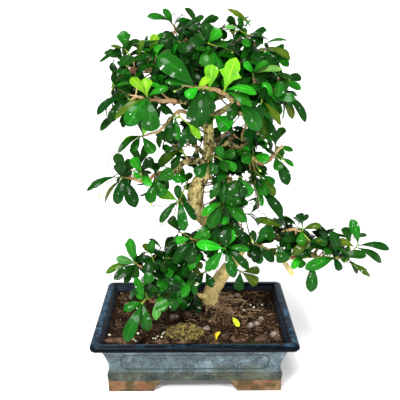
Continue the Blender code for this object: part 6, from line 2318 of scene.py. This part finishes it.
SPRIGS = (
    Sprig(((108, 98), (106, 101)), -34, End.BUD, 1.9), Sprig(((112, 88), (113, 84)), -16, End.BUD, 2.0),
    Sprig(((182, 88), (175, 91)), -66, End.BUD, 1.8), Sprig(((186, 70), (176, 68), (170, 73)), -70, End.BUD, 2.0),
    Sprig(((216, 46), (224, 47), (232, 52)), -30, End.BUD, 1.7), Sprig(((150, 58), (144, 51)), -10, End.BUD, 1.6),
    Sprig(((180, 210), (184, 216), (186, 219)), -26, End.BUD, 1.4), Sprig(((250, 236), (252, 241)), -30, End.BUD, 1.6),
    Sprig(((256, 165), (260, 171)), -40, End.BUD, 1.6), Sprig(((280, 156), (284, 161)), -20, End.BUD, 1.5),
    Sprig(((160, 256), (168, 258)), -24, End.BUD, 2.0), Sprig(((100, 188), (99, 196)), -32, End.BUD, 1.6),
    Sprig(((230, 32), (232, 26)), -4, End.BUD, 1.5), Sprig(((229, 34), (227, 24)), -6, End.FLOWER, 2.4),
    Sprig(((232, 190), (236, 182), (235, 178)), -52, End.FLOWER, 4.2),
    Sprig(((246, 210), (250, 206), (253, 203)), -40, End.FLOWER, 2.6),
    Sprig(((290, 172), (295, 169)), -14, End.FLOWER, 2.4), Sprig(((246, 258), (250, 264)), -24, End.FLOWER, 2.2),
    Sprig(((192, 280), (196, 284)), -36, End.FLOWER, 3.2), Sprig(((150, 199), (151, 204)), -34, End.BUD, 1.8),
    Sprig(((258, 211), (264, 214), (270, 222)), -18, End.BARE, 1.0, 0.6),
    Sprig(((253, 187), (258, 196), (259, 209)), -44, End.BARE, 1.0, 0.55),
    Sprig(((163, 206), (156, 205), (147, 207)), -30, End.BARE, 1.0, 0.5),
    Sprig(((118, 150), (114, 153), (106, 164)), -40, End.BARE, 1.0, 0.55),
    Sprig(((160, 226), (155, 230), (152, 238)), -30, End.BARE, 1.0, 0.5),
    Sprig(((172, 219), (166, 221), (163, 227)), -26, End.BARE, 1.0, 0.5),
    Sprig(((222, 259), (218, 266), (214, 275)), -30, End.BARE, 1.0, 0.5),
    Sprig(((169, 17), (176, 14), (184, 15)), 8, End.BARE, 1.0, 0.6),
    Sprig(((156, 252), (162, 247), (170, 248)), -20, End.BARE, 1.0, 0.6),
    Sprig(((190, 216), (198, 216), (203, 221)), -18, End.BARE, 1.0, 0.6),
)

FALLEN = {
    "fallen_leaf_front": ((26, -64), (30, -44), Tone.YELLOW),
    "fallen_leaf_middle": ((49, -10), (56, -34), Tone.CITRON),
}

# Knots and cut stubs on the trunk: place in mm, the way out, radius in mm
KNOTS = (
    ((6, -2, 322), (-1, -0.4, 0.1), 3.2), ((20, -2, 312), (0.6, -1, 0.2), 3.4), ((-6, 6, 236), (-1, -0.6, 0), 3.0),
    ((52, 18, 150), (0.5, -1, 0.1), 4.0), ((34, 22, 112), (0.2, -1, 0.3), 3.6), ((14, 3, 262), (0.8, -1, 0), 3.2),
)

# Root flare over the soil: start and end in mm, and radius
ROOTS_ON_TOP = (
    ((20, 31, 67), (12, 22, 63), 2.6), ((22, 30, 67), (29, 19, 63), 3.0), ((24, 34, 68), (38, 30, 64), 3.0),
    ((20, 36, 67), (14, 46, 63), 2.6), ((23, 37, 68), (33, 45, 64), 2.6),
)

LUMPS = (
    Lump((-97, -63), (24, 7, 6), 4, Finishes.CHIP, 0.35), Lump((-84, -66), (10, 6, 5), -20, Finishes.CHIP, 0.3),
    Lump((-9, 2), (11, 8, 6), 12, Finishes.CHIP, 0.35), Lump((-27, -6), (13, 8, 7), 10, Finishes.PEBBLE, 0.22),
    Lump((71, -31), (9, 8, 7), 20, Finishes.PEBBLE, 0.12), Lump((79, -26), (8, 6, 6), -12, Finishes.PEBBLE, 0.15),
    Lump((86, -12), (8, 7, 6), 40, Finishes.PEBBLE, 0.15), Lump((15, -37), (9, 7, 6), 30, Finishes.PEBBLE, 0.15),
    Lump((37, -57), (8, 6, 8), 40, Finishes.CHIP, 0.4), Lump((47, -60), (7, 5, 7), 80, Finishes.CHIP, 0.4),
    Lump((56, -66), (14, 7, 5), 8, Finishes.CHIP, 0.35), Lump((81, -62), (16, 8, 6), 16, Finishes.CHIP, 0.3),
    Lump((99, -52), (12, 9, 7), -30, Finishes.PEBBLE, 0.3), Lump((102, -60), (8, 7, 6), 15, Finishes.CHIP, 0.35),
    Lump((103, -44), (4, 3.5, 4), 0, Finishes.CLAY, 0.3), Lump((-40, -68), (18, 6, 4), -6, Finishes.CHIP, 0.3),
    Lump((-14, -72), (16, 5, 4), 4, Finishes.CHIP, 0.3), Lump((24, -72), (13, 5, 4), 4, Finishes.CHIP, 0.3),
    Lump((-92, 34), (10, 8, 4), 40, Finishes.CHIP, 0.3), Lump((86, 44), (12, 6, 4), -20, Finishes.CHIP, 0.3),
    Lump((60, 56), (9, 7, 5), 10, Finishes.PEBBLE, 0.25), Lump((-60, 50), (12, 8, 5), 65, Finishes.CHIP, 0.3),
    Lump((-20, 58), (10, 6, 4), 20, Finishes.CHIP, 0.35), Lump((-98, -22), (8, 6, 4), 10, Finishes.CHIP, 0.35),
    Lump((34, 62), (13, 6, 4), -10, Finishes.CHIP, 0.3), Lump((-62, -22), (9, 6, 4), 50, Finishes.CHIP, 0.35),
    Lump((60, 4), (8, 5, 4), -35, Finishes.CHIP, 0.35), Lump((-48, -38), (7, 5, 4), 15, Finishes.CHIP, 0.35),
)

# White grains: the column and row where each is seen in the photograph, in pixels, and its size in mm
LARGE_GRAIN = (2.8, 2.4, 2.4)
SMALL_GRAIN = (2.2, 1.8, 2.0)
GRAIN_TURN = 37
GRAINS = (
    (109.0, 335.0, LARGE_GRAIN), (137.5, 333.5, LARGE_GRAIN), (133.0, 339.5, LARGE_GRAIN), (135.0, 341.5, LARGE_GRAIN),
    (152.5, 338.5, SMALL_GRAIN), (155.0, 338.5, SMALL_GRAIN), (157.0, 336.5, SMALL_GRAIN), (161.0, 337.0, SMALL_GRAIN),
    (162.0, 334.0, SMALL_GRAIN), (163.5, 332.5, SMALL_GRAIN), (250.0, 305.5, SMALL_GRAIN),
)
GRAINS_BEHIND = (
    Lump((-78, 22), (2.6, 2.4, 2.4), 0, Finishes.PERLITE, 0.1),
    Lump((80, 22), (3.0, 2.8, 2.8), 0, Finishes.PERLITE, 0.1),
    Lump((92, 30), (2.8, 2.4, 2.4), 0, Finishes.PERLITE, 0.1),
    Lump((66, 12), (3.0, 2.6, 2.8), 0, Finishes.PERLITE, 0.1),
)


@dataclass(frozen=True)
class Stage:
    """A pale floor, soft studio light and the camera."""

    floor_half: float = 4.0
    bend: float = 1.5
    wall: float = 4.0
    floor_colour: Colour = (0.90, 0.90, 0.90)
    steps: int = 8
    # What the lamps face
    aim: Colour = (0, 0, 0.22)
    # Square soft lamps: name, place in metres, power in watts and side in metres
    lamps: tuple = (("front_left", (-0.7, -1.2, 1.2), 12.0, 0.11), ("front_right", (0.9, -1.0, 1.1), 8.0, 0.11),
                    ("low_front", (0.15, -1.7, 0.55), 10.0, 0.25))
    # High light: its power, the angle that it fills and the way that it shines
    high_power: float = 3.9
    high_angle: float = 30.0
    high_way: Colour = (0.25, 0.55, -1.0)
    surround: float = 0.24

    def floor(self) -> None:
        """Lay the floor and bend it up into a wall on all four sides, as a seamless paper sweep."""
        bm = bmesh.new()
        bmesh.ops.create_grid(bm, x_segments=1, y_segments=1, size=self.floor_half)
        edge = [edge for edge in bm.edges if edge.is_boundary]
        for step in range(1, self.steps + 1):
            angle = math.radians(90 * step / self.steps)
            extruded = bmesh.ops.extrude_edge_only(bm, edges=edge)["geom"]
            edge = [item for item in extruded if isinstance(item, bmesh.types.BMEdge)]
            out = self.floor_half + self.bend * math.sin(angle)
            up = self.bend * (1 - math.cos(angle)) + (self.wall if step == self.steps else 0.0)
            for vert in {vert for item in edge for vert in item.verts}:
                vert.co = (math.copysign(out, vert.co.x), math.copysign(out, vert.co.y), up)
        mesh = close_bmesh(bm, "floor", True)
        paper = Recipe("floor_paper")
        mesh.materials.append(paper.done(self.floor_colour, 0.9, None, Specular_IOR_Level=0.0))
        floor = bpy.data.objects.new("floor", mesh)
        bpy.context.scene.collection.objects.link(floor)
        floor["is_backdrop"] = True

    def lamp(self, name: str, place: Colour, power: float, size: float) -> None:
        """Hang a square soft lamp that faces the tree.

        Args:
            name: The lamp's name.
            place: Its place in metres.
            power: Its power in watts.
            size: Its side in metres.
        """
        light = bpy.data.lights.new(name, "AREA")
        light.energy = power
        light.size = size
        item = bpy.data.objects.new(name, light)
        bpy.context.scene.collection.objects.link(item)
        item.location = place
        item.rotation_euler = (Vector(self.aim) - Vector(place)).to_track_quat("-Z", "Y").to_euler()

    def build(self) -> None:
        """Set the floor, the light and the camera."""
        scene = bpy.context.scene
        self.floor()
        sun = bpy.data.lights.new("high_softbox", "SUN")
        sun.energy = self.high_power
        sun.angle = math.radians(self.high_angle)
        item = bpy.data.objects.new("high_softbox", sun)
        scene.collection.objects.link(item)
        item.rotation_euler = Vector(self.high_way).to_track_quat("-Z", "Y").to_euler()
        for lamp in self.lamps:
            self.lamp(*lamp)
        world = bpy.data.worlds.new("studio")
        world.use_nodes = True
        background = world.node_tree.nodes["Background"]
        background.inputs["Color"].default_value = (1.0, 1.0, 1.0, 1.0)
        background.inputs["Strength"].default_value = self.surround
        scene.world = world
        scene.view_settings.view_transform = "Standard"
        data = bpy.data.cameras.new("camera")
        data.sensor_width = VIEW.sensor
        data.lens = VIEW.sensor * VIEW.focal / VIEW.side
        camera = bpy.data.objects.new("camera", data)
        scene.collection.objects.link(camera)
        camera.location = Vector((0, -VIEW.back, VIEW.height)) + POT_PLACE
        yaw = math.atan((VIEW.side / 2 - VIEW.middle_column) / VIEW.focal)
        camera.rotation_euler = (math.pi / 2 - VIEW_TILT, 0.0, -yaw)
        scene.camera = camera


def corners() -> list[list[float]]:
    """The shown object's lowest and highest corner as plain numbers."""
    return [[float(value) for value in corner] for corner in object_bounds()]


def main() -> None:
    """Build the tree in its pot, piece by piece."""
    logging.basicConfig(level=logging.INFO, format="%(message)s")
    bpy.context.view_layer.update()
    pot = Pot()
    pot.build()
    wood = Wood()
    foliage = Foliage(wood)
    foliage.build()
    Filling(foliage).build()
    wood.build()
    Soil(pot).build(foliage.cutter)
    Sprigs(foliage).build()
    Stage().build()
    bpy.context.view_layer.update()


if __name__ == "__main__":
    main()
